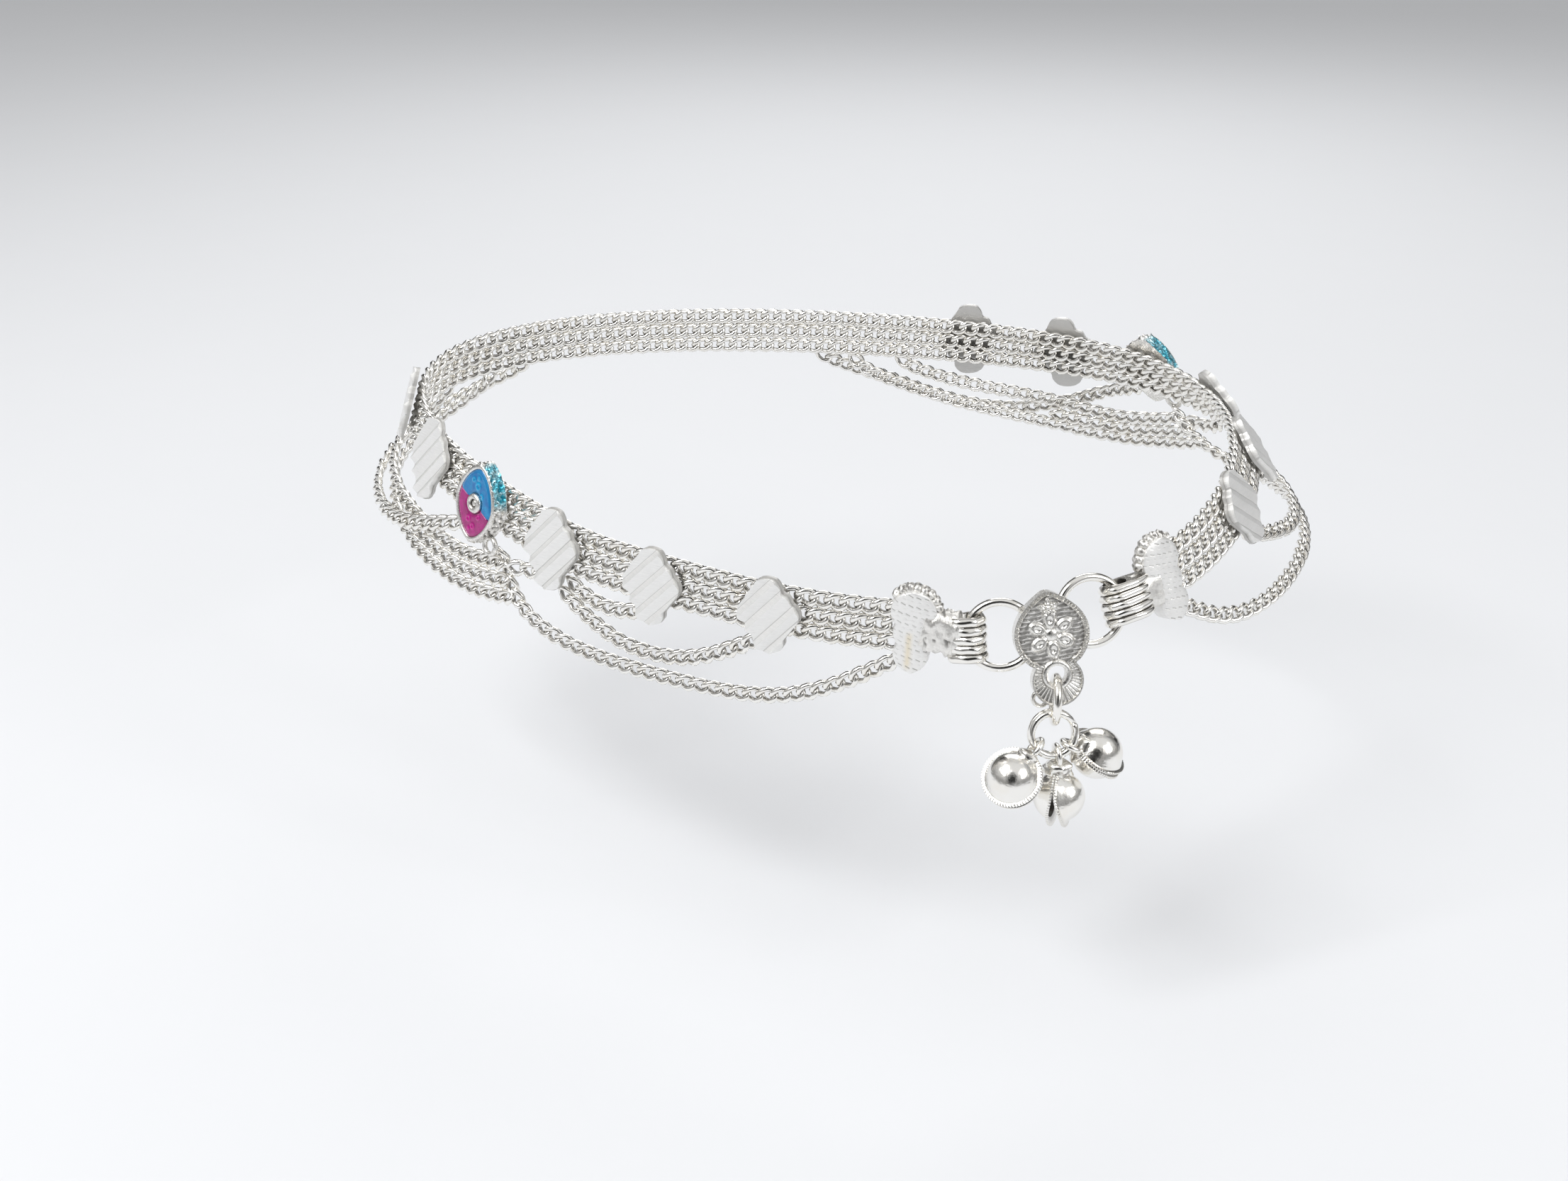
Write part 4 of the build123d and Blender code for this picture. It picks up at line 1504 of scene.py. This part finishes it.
@dataclass
class Clasp:
    """The end caps with their ribbed bails, the two jump rings and the charm.

    Each of the cap's lobes gives the middle and the radius of a circle, on the heel side. A ring's
    place is its distance from the clasp and how far it hangs below the band's middle. The eyelet
    gives its height on the charm, the radius of its hole and the radius of its collar. Each flower
    gives its middle, the radius that its petals stand on, a petal's half length and half width,
    and the number of petals.
    """

    cap_station: float = 12.75
    cap_back: float = -0.5
    cap_thickness: float = 1.9
    cap_lobes: Triples = ((-0.1, 2.1, 2.4), (-0.7, -2.75, 1.85), (-0.4, -0.3, 2.0))
    pillow: float = 0.55
    dash_depth: float = 0.05
    dash_pitch: tuple[float, float] = (0.75, 0.55)
    bead: tuple[float, float, float] = (0.52, 0.52, 0.62)
    bail_set_in: float = 0.35
    bail_diameter: float = 3.4
    bail_bore: float = 1.95
    bail_ribs: int = 5
    ring_diameter: float = 7.6
    ring_wire: float = 0.88
    lean: float = 14.0
    ring_places: dict[Side, tuple[float, float]] = field(
        default_factory=lambda: {Side.HEEL: (4.65, 1.1), Side.TOE: (-4.6, 0.3)}
    )
    charm_station: tuple[float, float] = (0.0, 0.6)
    charm_roll: float = -1.0
    charm_back: float = 1.0
    charm_thickness: float = 1.2
    charm_relief: float = 0.3
    charm_rim: float = 0.45
    charm_half: tuple[tuple[float, float], ...] = (
        (0.0, 3.95), (1.5, 3.2), (2.75, 2.1), (3.5, 0.85),
        (3.72, -0.4), (3.5, -1.7), (2.9, -2.75), (2.05, -3.45),
    )
    heart_end: tuple[float, float] = (0.0, -3.8)
    lobe: tuple[float, float] = (-5.1, 2.55)
    eyelet: tuple[float, float, float] = (-4.5, 0.95, 1.45)
    stripe_pitch: float = 0.42
    mill_pitch: float = 0.34
    flowers: tuple[tuple[float, float, float, float, float, int], ...] = (
        (0.0, -0.45, 1.5, 0.92, 0.62, 6),
        (0.0, 2.25, 0.62, 0.44, 0.3, 5),
    )
    eye_radius: float = 0.88
    eye_wire: float = 0.56

    @property
    def ring_radius(self) -> float:
        """From the middle of a jump ring to the middle of its wire."""
        return (self.ring_diameter - self.ring_wire) / 2

    def ring_place(self, side: Side, loop: WearLoop) -> Place:
        """Where a jump ring lies."""
        return loop.place(*self.ring_places[side], lean=self.lean)

    def charm_place(self, loop: WearLoop) -> Place:
        """Where the charm lies."""
        return loop.place(*self.charm_station, self.charm_back, self.charm_roll, self.lean)

    def build(self, loop: WearLoop, palette: Palette) -> None:
        """Makes the whole clasp.

        Args:
            loop: The wear loop.
            palette: The finishes.
        """
        for side in Side:
            place = loop.place(side.value * self.cap_station, out=self.cap_back)
            ring_place = self.ring_place(side, loop)
            bail_place = ring_place.upright(-side.value * (self.ring_radius - self.bail_set_in))
            node = f"end_cap_{side.word}"
            face = self.lobes(side).placed(place)
            solder = joined([self.crown(side).placed(place), self.neck(place, bail_place, side)])
            bail = self.bail(side).placed(bail_place)
            finish_piece(node, "face", face, palette.cap, sharp=35.0, weld=True)
            finish_piece(node, "solder", solder, palette.solder, sharp=60.0, weld=True)
            finish_piece(node, "bail", bail, palette.ring, sharp=50.0, weld=True)
            ring = hoop(self.ring_radius, self.ring_wire, 96, 18).placed(ring_place)
            finish_piece(f"ring_{side.word}", "wire", ring, palette.ring)
        finish_piece("charm", "cast", self.charm(loop), palette.charm, sharp=30.0, weld=True)

    def lobes(self, side: Side) -> Surface:
        """The cap's three lobes: each row reaches from the leftmost to the rightmost of the
        circles that it crosses, and the top is a low pillow, pressed with rows of short slanting
        dashes that stay dark.

        Args:
            side: The half of the anklet.

        Returns:
            The closed surface.
        """
        top = max(up + radius for _, up, radius in self.cap_lobes)
        bottom = min(up - radius for _, up, radius in self.cap_lobes)
        rows = bottom + (top - bottom) * (1 - np.cos(np.linspace(0, math.pi, 150))) / 2
        reach = []
        for along, up, radius in self.cap_lobes:
            half = np.sqrt(np.clip(radius**2 - (rows - up) ** 2, 0, None))
            inside = np.abs(rows - up) <= radius + 1e-9
            left, right = side.value * along - half, side.value * along + half
            reach.append((np.where(inside, left, np.inf), np.where(inside, right, -np.inf)))
        low = np.min([ends[0] for ends in reach], axis=0)
        high = np.max([ends[1] for ends in reach], axis=0)
        middle, half = (low + high)[:, None] / 2, np.maximum(high - low, 1e-6)[:, None] / 2
        edge = self.cap_thickness - self.pillow

        def level(x: Array, y: Array) -> Array:
            """The top's height: a dome over the width of each row, less the dashes."""
            dome = 0.5 * np.sqrt(np.clip(1 - ((x - middle) / half) ** 2, 0, 1))
            return edge + dome - self.dash_depth * self.dashes(x, y)

        walls = ((0.0, 0.0), (0.0, self.cap_thickness * 0.5), (0.12, edge))
        made = slab(rows, low, high, 88, walls, level)
        upper = made.points[:, 2] > edge - self.dash_depth
        made.nook = np.where(upper, 0.95 * self.dashes(made.points[:, 0], made.points[:, 1]), 0.35)
        made.points[:, 2] += 0.03 * grain(made.points, 1.9, 61) * upper
        if side is Side.HEEL:
            x, y = made.points[:, 0], made.points[:, 1]
            streak = np.exp(-(((x - 0.12 * y + 0.6) / 0.32) ** 2))
            made.tint = 0.55 * streak * smooth(0.4, -0.6, y) * smooth(-4.6, -3.4, y) * upper
        return made

    def dashes(self, x: Array, y: Array) -> Array:
        """How deep the dashes are, from 0 to 1: rows of dashes that fall a little to the right,
        each dash about half as long as its cell, and of its own length and depth."""
        across_pitch, up_pitch = self.dash_pitch
        slope = y + 0.3 * x
        row = np.floor(slope / up_pitch)
        cell = x / across_pitch + 0.41 * row + 0.2 * np.sin(2.3 * row)
        own = np.sin(12.9 * np.floor(cell) + 78.2 * row)
        across = np.mod(cell, 1.0) - 0.5
        up = np.mod((slope + 0.2 * across) / up_pitch, 1.0) - 0.5 + 0.08 * own
        half = 0.24 + 0.07 * own
        depth = (0.75 + 0.25 * own) * smooth(half + 0.06, half - 0.04, np.abs(across))
        return depth * smooth(0.17, 0.06, np.abs(up))

    def crown(self, side: Side) -> Surface:
        """Beads that stand behind the upper lobe, in an arc that runs down to the neck.

        Args:
            side: The half of the anklet.

        Returns:
            The beads together.
        """
        beads = []
        along, up, _ = self.cap_lobes[0]
        for number, angle in enumerate(np.radians(np.arange(8.0, 152.0, 18.0))):
            bead = lump(self.bead, 0.12, 0.45, 70 + number, 18)
            where = np.array([side.value * (along + 2.4 * math.cos(angle)), up + 2.5 * math.sin(angle), 0.75])
            beads.append(bead.warped(bead.points + where))
        return joined(beads)

    def neck(self, place: Place, bail_place: Place, side: Side) -> Surface:
        """The neck between the lobes and the bail: an oval section carried from one to the
        other, rough with solder.

        Args:
            place: The cap's place.
            bail_place: The bail's place.
            side: The half of the anklet.

        Returns:
            The neck's surface.
        """
        heel = side is Side.HEEL
        rise, reach, height = (0.3, 0.8, 2.3) if heel else (-0.4, 0.6, 1.85)
        coarse, rough = (0.9, 0.09) if heel else (1.6, 0.04)
        steps, sides = 22, 28
        start = place.moved(side.value * 0.6, rise, 0.8).origin
        path = start + np.linspace(0, 1, steps)[:, None] * (bail_place.origin - start) * reach
        made = tube(path, 1.0, sides, False, place.up)
        centre = np.repeat(path, sides, axis=0)
        away = made.points - centre
        tall, deep = np.abs(away @ place.up), np.abs(away @ place.out)
        share = np.repeat(np.linspace(0, 1, steps), sides)
        points = centre + away * (height * tall**2 + (0.9 + 0.4 * share) * deep**2 + 0.2)[:, None]
        grit = grain(points, coarse, 63) + 0.5 * grain(points, coarse / 2, 64)
        made = made.warped(centre + (points - centre) * (1 + rough * grit)[:, None])
        made.nook = smooth(-0.5, -1.4, grit) * (0.9 if heel else 0.4)
        return closed_ends(made, steps, sides)

    def bail(self, side: Side) -> Surface:
        """The ribbed barrel that the ring passes through: its profile is round ribs outside and a
        plain bore, turned about z, and drawn out towards the cap.

        Args:
            side: The half of the anklet.

        Returns:
            The barrel's surface.
        """
        depth, reach, tall = (0.3, 0.5, 4.6) if side is Side.HEEL else (0.36, 1.7, 4.1)
        height = np.linspace(-tall / 2, tall / 2, 81)
        rib = np.abs(np.sin(math.pi * (height / tall + 0.5) * self.bail_ribs))
        bore = self.bail_bore / 2 + 0.25
        outside = self.bail_diameter / 2 + 0.1 - depth * (1 - rib**0.6)
        profile_r = np.concatenate([outside, np.full(2, bore)])
        profile_z = np.concatenate([height, [tall / 2, -tall / 2]])
        turn = np.linspace(0, TURN, 64, endpoint=False)[:, None]
        sway = 0.05 * np.sin(3 * turn + profile_z) + 0.04 * np.sin(7 * turn + 2 * profile_z)
        outer = profile_r > bore
        radius = profile_r + sway * outer
        drawn = -side.value * reach * smooth(-0.2, 1.0, -side.value * np.cos(turn)) * outer
        rise = 0.06 * np.sin(2 * turn) + 0.15 * radius * np.cos(turn) * outer * (side is Side.TOE)
        points = polar(radius, turn, profile_z + rise)
        points[..., 0] += drawn
        # painted shade in the bore (nook 0.7); the grooves between the ribs are darkened as well
        return over_grid(points, True, True, np.concatenate([smooth(0.6, 0.1, rib), [0.7, 0.7]]))

    def charm(self, loop: WearLoop) -> Surface:
        """The charm: two halves of the relief, the eyes round the rings and the hook's curl.

        Args:
            loop: The wear loop.

        Returns:
            The parts together.
        """
        place = self.charm_place(loop)
        curl = hoop(0.75, 0.45, 40, 12)
        parts = [self.relief(-1).placed(place), self.relief(1).placed(place)]
        parts.append(curl.warped(curl.points + np.array([-1.7, -6.95, -0.4])).placed(place))
        for side in Side:
            eye = hoop(self.eye_radius, self.eye_wire, 40, 12)
            parts.append(eye.placed(self.ring_place(side, loop).upright(side.value * self.ring_radius)))
        return joined(parts)

    def charm_outline(self) -> Array:
        """The charm's whole outline: the heart's right side, the lobe's arc and the mirror."""
        steps, last = 16, self.charm_half[-1][0]
        centre, radius = self.lobe
        start = math.degrees(math.acos(last / radius))
        arc = np.radians(np.linspace(start, -90.0, 40))
        heart = closed_curve(mirrored_outline((*self.charm_half, self.heart_end)), steps)
        heart = heart[: steps * (len(self.charm_half) - 1) + 1]
        lobe = np.stack([radius * np.cos(arc), centre + radius * np.sin(arc)], axis=-1)
        lobe = lobe[lobe[:, 1] < heart[-1, 1] - 0.05]
        right = np.concatenate([heart, lobe])
        return np.concatenate([right, (right * np.array([-1.0, 1.0]))[::-1][1:-1]])

    def relief(self, half: int) -> Surface:
        """One half of the charm, from its outline to the middle line, or to the eyelet's edge.

        Args:
            half: 1 for the right half and -1 for the left.

        Returns:
            Its closed surface.
        """
        curve = self.charm_outline()
        top, bottom = curve[:, 1].max(), curve[:, 1].min()
        eye_y, hole, _ = self.eyelet
        rows = np.unique(np.concatenate([np.linspace(bottom, top, 168), [eye_y - hole, eye_y + hole]]))
        low, high = chords(curve, rows)
        middle = np.sqrt(np.clip(hole**2 - (rows - eye_y) ** 2, 0, None))
        edge = np.maximum(high if half > 0 else -low, middle)
        inner, outer = (middle, edge) if half > 0 else (-edge, -middle)
        ground = self.charm_thickness - self.charm_relief
        walls = ((0.0, 0.0), (0.0, ground))
        made = slab(rows, inner, outer, 62, walls, lambda x, y: self.relief_height(x, y, curve)[0])
        _, dark = self.relief_height(made.points[:, 0], made.points[:, 1], curve)
        made.nook = np.where(made.points[:, 2] > ground - 0.12, dark, 0.35)
        return made

    def relief_height(self, x: Array, y: Array, curve: Array) -> tuple[Array, Array]:
        """The charm's relief: a milled rim along the outline, a striped ground, a blossom with a
        small flower above it, a collar round the eyelet and rays round the collar.

        Args:
            x: Places across.
            y: Places up.
            curve: The outline.

        Returns:
            Heights above the back, and how dark each place is.
        """
        shape = x.shape
        px, py = x.ravel(), y.ravel()
        gap = np.hypot(px[:, None] - curve[None, :, 0], py[:, None] - curve[None, :, 1])
        edge = gap.min(axis=1)
        ground = self.charm_thickness - self.charm_relief
        run = np.concatenate([[0.0], np.cumsum(np.linalg.norm(np.diff(curve, axis=0), axis=-1))])
        along = run[gap.argmin(axis=1)]
        eye_y, hole, collar = self.eyelet
        from_eye = np.hypot(px, py - eye_y)
        bearing = np.arctan2(py - eye_y, px)
        in_lobe = smooth(-3.2, -3.6, py)
        rays = in_lobe * smooth(collar + 0.02, collar + 0.12, from_eye) * (0.5 + 0.5 * np.cos(40 * bearing))
        broken = np.sin(2.3 * px + 9.1 * np.floor(py / self.stripe_pitch)) + np.sin(5.1 * px - 4.0 * py)
        wave = 0.5 + 0.5 * np.cos(TURN * (py + 0.04 * np.sin(3.1 * px)) / self.stripe_pitch)
        stripe = (1 - in_lobe) * wave * (0.35 + 0.65 * smooth(-0.9, 0.6, broken))
        mill = 0.5 + 0.5 * np.cos(TURN * along / self.mill_pitch)
        milled = 0.45 * (mill < 0.45) * (edge > 0.1) * (edge < 0.4) * (1 - in_lobe)
        rim = (self.charm_relief - 0.02) * smooth(self.charm_rim + 0.1, self.charm_rim - 0.02, edge)
        rim = rim * (1 - milled) * np.where(in_lobe > 0.5, smooth(0.26, 0.16, edge), 1.0)
        ring = self.charm_relief * smooth(collar + 0.08, collar - 0.04, from_eye)
        ring *= 0.75 + 0.25 * np.sin(math.pi * np.clip((from_eye - hole) / (collar - hole), 0, 1))
        height = ground + 0.05 * stripe + 0.07 * rays
        for form in (rim, ring, 0.28 * self.blossom(px, py)):
            height = np.maximum(height, ground + form)
        foot = smooth(0.45, 0.0, edge - self.charm_rim) * (1 - in_lobe)
        dark = np.clip(0.78 - 0.62 * np.maximum(stripe, rays) + 0.35 * foot, 0, 1)
        dark *= 1 - smooth(ground + 0.07, ground + 0.16, height)
        return height.reshape(shape), dark.reshape(shape)

    def blossom(self, x: Array, y: Array) -> Array:
        """The flowers: each is a ring of petals round a bead, and each petal is an oval ridge
        about a hollow.

        Args:
            x: Places across.
            y: Places up.

        Returns:
            Heights from 0 to 1.
        """
        height = np.zeros_like(x)
        for across, up, radius, long_half, wide_half, petals in self.flowers:
            for number in range(petals):
                angle = TURN * number / petals + math.pi / 2
                dx, dy = x - across - radius * math.cos(angle), y - up - radius * math.sin(angle)
                out, over = swung(dx, dy, angle)
                level = np.hypot(out / long_half, over / wide_half)
                ridge = np.exp(-(((level - 0.68) / 0.3) ** 2)) + 0.5 * (level < 0.6)
                height = np.maximum(height, np.minimum(ridge, 1.0))
            bead = np.hypot(x - across, y - up) / (radius * 0.42)
            height = np.maximum(height, np.sqrt(np.clip(1 - bead**2, 0, 1)))
        return height


def closed_ends(surface: Surface, rows: int, columns: int) -> Surface:
    """A tube with its two ends drawn together to their own middles.

    Args:
        surface: The tube, whose points are numbered ring by ring.
        rows: Its rings.
        columns: Points in a ring.

    Returns:
        The closed surface.
    """
    grid = surface.points.reshape(rows, columns, 3)
    middles = np.repeat(grid.mean(axis=1, keepdims=True), columns, axis=1)
    grid = np.concatenate([middles[:1], grid, middles[-1:]])
    nook = surface.nook.reshape(rows, columns)
    nook = np.concatenate([nook[:1], nook, nook[-1:]])
    return over_grid(grid, False, True, nook)


# --------------------------------------------------------------------------- drop


@dataclass
class Bell:
    """One bell of the drop.

    Attributes:
        name: Its name.
        place: Its place on the ring, in degrees from straight down.
        centre: The bell's middle, from the ring's middle.
        slit_turn: How far its slit is turned about its own axis.
        slit: How wide the slit is at the bottom.
    """

    name: str
    place: float
    centre: tuple[float, float, float]
    slit_turn: float
    slit: float


@dataclass
class Drop:
    """The link through the charm's eyelet, the double ring on it, and the three bells."""

    roll: float = -12.0
    link_diameter: float = 5.3
    link_wire: float = 0.85
    ring_diameter: float = 5.1
    ring_wire: float = 0.68
    clearance: float = 0.18
    radius: float = 2.6
    wall: float = 0.3
    lip: float = 0.5
    lip_thickness: float = 0.3
    shank_radius: float = 0.8
    loop_radius: float = 1.02
    loop_wire: float = 0.62
    link_turn: float = 6.0
    loop_hang: float = 0.08
    notches: int = 64
    bells: tuple[Bell, ...] = (
        Bell("left", -50.0, (-3.95, -4.4, 0.6), 50.0, 0.35),
        Bell("middle", 14.0, (1.1, -6.5, -0.6), -26.0, 1.1),
        Bell("right", 58.0, (4.9, -2.3, -1.6), -20.0, 0.45),
    )

    def hang(self, loop: WearLoop, clasp: Clasp) -> Place:
        """Where the drop turns: in the bottom of the charm's eyelet, with y straight up in the
        charm's lean."""
        eye_y, hole, _ = clasp.eyelet
        rest = eye_y - hole + self.link_wire / 2 + self.clearance
        pivot = clasp.charm_place(loop).moved(0.0, rest, clasp.charm_thickness / 2).origin
        plain = loop.place(*clasp.charm_station, roll=self.roll, lean=clasp.lean)
        return Place(pivot, plain.along, plain.up, plain.out)

    def build(self, loop: WearLoop, clasp: Clasp, palette: Palette) -> None:
        """Makes the whole drop.

        Args:
            loop: The wear loop.
            clasp: The clasp that it hangs from.
            palette: The finishes.
        """
        hang = self.hang(loop, clasp)
        link_radius = (self.link_diameter - self.link_wire) / 2
        ring_radius = (self.ring_diameter - self.ring_wire) / 2
        ring_y = -2 * link_radius + (self.link_wire + self.ring_wire) / 2 + self.clearance - ring_radius
        middle = hang.moved(up=-link_radius)
        across, deep = math.sin(math.radians(self.link_turn)), math.cos(math.radians(self.link_turn))
        forward = hang.out * deep - hang.along * across
        link_place = Place(middle.origin, forward, hang.up, np.cross(forward, hang.up))
        link = hoop(link_radius, self.link_wire, 72, 16).placed(link_place)
        finish_piece("drop_link", "wire", link, palette.ring, "drop")
        ring_place = hang.moved(up=ring_y)
        ring = self.split_ring(ring_radius).placed(ring_place)
        finish_piece("drop_ring", "wire", ring, palette.ring, "drop")
        for number, bell in enumerate(self.bells):
            shell = self.bell(bell, ring_place, ring_radius, number)
            node = f"bell_{bell.name}"
            finish_piece(node, "shell", shell, palette.bell, "drop", sharp=45.0, weld=True)

    def split_ring(self, radius: float) -> Surface:
        """The double ring: a wire that goes twice round, rising by its own thickness each time,
        with tapered ends."""
        turn = np.linspace(0, 2 * TURN, 150)
        rise = self.ring_wire * 0.92 * (smooth(0.9 * TURN, 1.1 * TURN, turn) - 0.5)
        path = polar(radius, turn + 0.6, rise)
        taper = np.minimum(1.0, np.sqrt(np.clip(np.minimum(turn, 2 * TURN - turn) / 0.12, 0.0, 1.0)))
        return tube(path, self.ring_wire / 2 * np.maximum(taper, 0.02), 12, False, OUTWARDS)

    def bell(self, bell: Bell, ring: Place, ring_radius: float, number: int) -> Surface:
        """A bell in its place: two cups, a shank, a lump of solder and a loop.

        Args:
            bell: Which bell.
            ring: The double ring's place.
            ring_radius: The double ring's radius.
            number: The bell's number, for its seed.

        Returns:
            The parts together.
        """
        angle = math.radians(bell.place)
        hold = ring.to_frame(ring_radius * np.array([math.sin(angle), -math.cos(angle), 0.0]))
        wire_along = math.cos(angle) * ring.along + math.sin(angle) * ring.up
        middle = ring.to_frame(np.array(bell.centre))
        axis = unit(hold - middle)
        sideways = unit(wire_along - axis * (wire_along @ axis))
        place = Place(middle, sideways, np.cross(axis, sideways), axis).turned(bell.slit_turn)
        loop_height = float(np.linalg.norm(hold - middle)) - self.loop_hang
        parts = [self.cup(half, bell.slit).placed(place) for half in (1, -1)]
        steps, sides = 8, 16
        path = np.linspace(self.radius - 0.5, loop_height - self.loop_radius + 0.1, steps)[:, None] * OUTWARDS
        shank = tube(path, self.shank_radius, sides, False, np.array([1.0, 0.0, 0.0]))
        parts.append(closed_ends(shank, steps, sides).placed(place))
        low, high = self.radius - 0.6, loop_height - self.ring_wire / 2 - 0.1
        solder = lump((1.5, 1.2, (high - low) / 2), 0.12, 1.0, 80 + number, 24)
        parts.append(solder.warped(solder.points + (low + high) / 2 * OUTWARDS).placed(place))
        loop_place = Place(place.to_frame(loop_height * OUTWARDS), axis, np.cross(sideways, axis), sideways)
        parts.append(hoop(self.loop_radius, self.loop_wire, 36, 12).placed(loop_place))
        return joined(parts)

    def cup(self, half: int, slit: float) -> Surface:
        """One cup of a bell: a profile from the pole over the dome to the milled lip and back
        inside, turned about x. The gap between the cups is widest at the bottom.

        Args:
            half: 1 or -1, the side of the slit.
            slit: How wide the slit is at the bottom.

        Returns:
            The cup's closed surface.
        """
        turn = np.linspace(0, TURN, 4 * self.notches, endpoint=False)[:, None]
        gap = slit / 2 * smooth(0.55, -0.6, np.sin(turn)) + 0.01
        notch = 0.5 + 0.5 * np.cos(self.notches * turn)
        edge = self.radius + self.lip
        dome_steps, lip_steps = 18, 4
        bend = np.linspace(0, 1, dome_steps)[None, :]
        last = math.acos(min(1.0, (slit / 2 + self.lip_thickness) / self.radius))
        dome_r, dome_x = self.radius * np.sin(bend * last), self.radius * np.cos(bend * last)
        dome_x = dome_x - (slit / 2 - gap) * bend**4
        dome_r = dome_r + 0 * turn + 0.16 * smooth(0.8, 1.0, bend) ** 2
        face, milled = gap + self.lip_thickness, edge - 0.07 - 0.05 * notch
        lip_r = np.concatenate([edge - 0.24 + 0 * turn, milled, edge - 0.05 * notch, milled], axis=1)
        lip_x = [face - 0.02 * notch, face - 0.05 * notch, gap + self.lip_thickness / 2, gap]
        inner = np.linspace(last, 0, 12)[None, :]
        inside = self.radius - self.wall
        in_r, in_x = inside * np.sin(inner) + 0 * turn, inside * np.cos(inner)
        in_x = np.maximum(in_x - (slit / 2 - gap), gap)
        radius = np.concatenate([dome_r, lip_r, in_r], axis=1)
        across = np.concatenate([dome_x, *lip_x, in_x], axis=1)
        nook = np.zeros(radius.shape)
        # the milled notches of the lip are darkened
        nook[:, dome_steps : dome_steps + lip_steps] = 0.75 * notch
        # painted shade: the inside of the cup, seen through the slit, is darkened
        nook[:, dome_steps + lip_steps :] = 0.9
        return over_grid(polar(radius, turn, half * across)[..., [2, 0, 1]], True, False, nook)


# --------------------------------------------------------------------------- studio


@dataclass
class Studio:
    """The floor, the lights, the sky and the camera.

    Each lamp gives its name, its place, its size and its power. Each dark patch of the sky gives
    its direction, the cosines of the angles where it starts and where it is darkest, and how much
    of the light is left there.
    """

    floor_drop: float = 45.0
    floor_size: float = 4000.0
    eye: tuple[float, float, float] = (50.92, -183.17, 76.75)
    aim: tuple[float, float, float] = (-8.6, 0.0, -19.7)
    lens: float = 40.69
    sensor: float = 36.0
    clip: tuple[float, float] = (0.01, 20.0)
    lamps: tuple[tuple[str, tuple[float, float, float], float, float], ...] = (
        ("key", (-220.0, -260.0, 420.0), 260.0, 1.7),
        ("fill", (380.0, -120.0, 260.0), 220.0, 0.6),
        ("back", (-60.0, 380.0, 300.0), 300.0, 0.6),
    )
    sky_low: float = 0.25
    sky_high: float = 0.75
    sky_reach: float = 0.75
    dark_patches: tuple[tuple[tuple[float, float, float], float, float, float], ...] = (
        ((0.12, -0.87, 0.47), 0.87, 0.97, 0.04),
        ((-0.2, 1.0, 0.05), 0.15, 0.75, 0.08),
    )

    def build(self) -> None:
        """Makes the studio."""
        half = self.floor_size / 2
        corners = [(-half, -half), (half, -half), (half, half), (-half, half)]
        mesh = bpy.data.meshes.new("floor")
        mesh.from_pydata([(x * MM, y * MM, -self.floor_drop * MM) for x, y in corners], [], [(0, 1, 2, 3)])
        mesh.materials.append(StudioPaper().material())
        floor = bpy.data.objects.new("floor", mesh)
        bpy.context.scene.collection.objects.link(floor)
        for name, where, size, power in self.lamps:
            lamp = bpy.data.lights.new(name, "AREA")
            lamp.size, lamp.energy = size * MM, power
            light = bpy.data.objects.new(name, lamp)
            light.location = Vector(where) * MM
            light.rotation_euler = (-light.location).to_track_quat("-Z", "Y").to_euler()
            bpy.context.scene.collection.objects.link(light)
        self.sky()
        camera = bpy.data.objects.new("camera", bpy.data.cameras.new("camera"))
        camera.data.lens, camera.data.sensor_width = self.lens, self.sensor
        camera.data.clip_start, camera.data.clip_end = self.clip
        camera.location = Vector(self.eye) * MM
        camera.rotation_euler = (Vector(self.aim) - Vector(self.eye)).to_track_quat("-Z", "Y").to_euler()
        bpy.context.scene.collection.objects.link(camera)
        bpy.context.scene.camera = camera

    def sky(self) -> None:
        """A soft sky for the metal to reflect: white overhead and to the sides, grey low down, and
        dark in two patches, in front where a person would stand and low behind the anklet."""
        world = bpy.data.worlds.new("studio")
        world.use_nodes = True
        tree = world.node_tree
        toward = tree.nodes.new("ShaderNodeTexCoord").outputs["Generated"]

        def facing(direction: Sequence[float], start: float, end: float, low: float, high: float) -> Any:
            """A level that changes with the cosine of the angle to a direction."""
            dot = tree.nodes.new("ShaderNodeVectorMath")
            dot.operation = "DOT_PRODUCT"
            dot.inputs[1].default_value = Vector(direction).normalized()
            tree.links.new(toward, dot.inputs[0])
            ramp = tree.nodes.new("ShaderNodeMapRange")
            ramp.interpolation_type = "SMOOTHSTEP"
            tree.links.new(dot.outputs["Value"], ramp.inputs["Value"])
            for name, number in (("From Min", start), ("From Max", end), ("To Min", low), ("To Max", high)):
                ramp.inputs[name].default_value = number
            return ramp.outputs["Result"]

        level = facing(OUTWARDS, 0.0, self.sky_reach, self.sky_low, self.sky_high)
        for direction, start, end, least in self.dark_patches:
            times = tree.nodes.new("ShaderNodeMath")
            times.operation = "MULTIPLY"
            tree.links.new(level, times.inputs[0])
            tree.links.new(facing(direction, start, end, 1.0, least), times.inputs[1])
            level = times.outputs["Value"]
        tree.links.new(level, tree.nodes["Background"].inputs["Color"])
        bpy.context.scene.world = world
        bpy.context.scene.view_settings.view_transform = "Standard"


def main() -> None:
    """Builds the anklet piece by piece, and then the studio."""
    logging.basicConfig(level=logging.INFO, format="%(message)s")
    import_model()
    loop = WearLoop()
    palette = Palette.mixed()
    clasp = Clasp()
    ChainWork().build(loop, palette)
    Plates().build(loop, palette)
    Motifs().build(loop, palette)
    clasp.build(loop, palette)
    Drop().build(loop, clasp, palette)
    Studio().build()


if __name__ == "__main__":
    main()
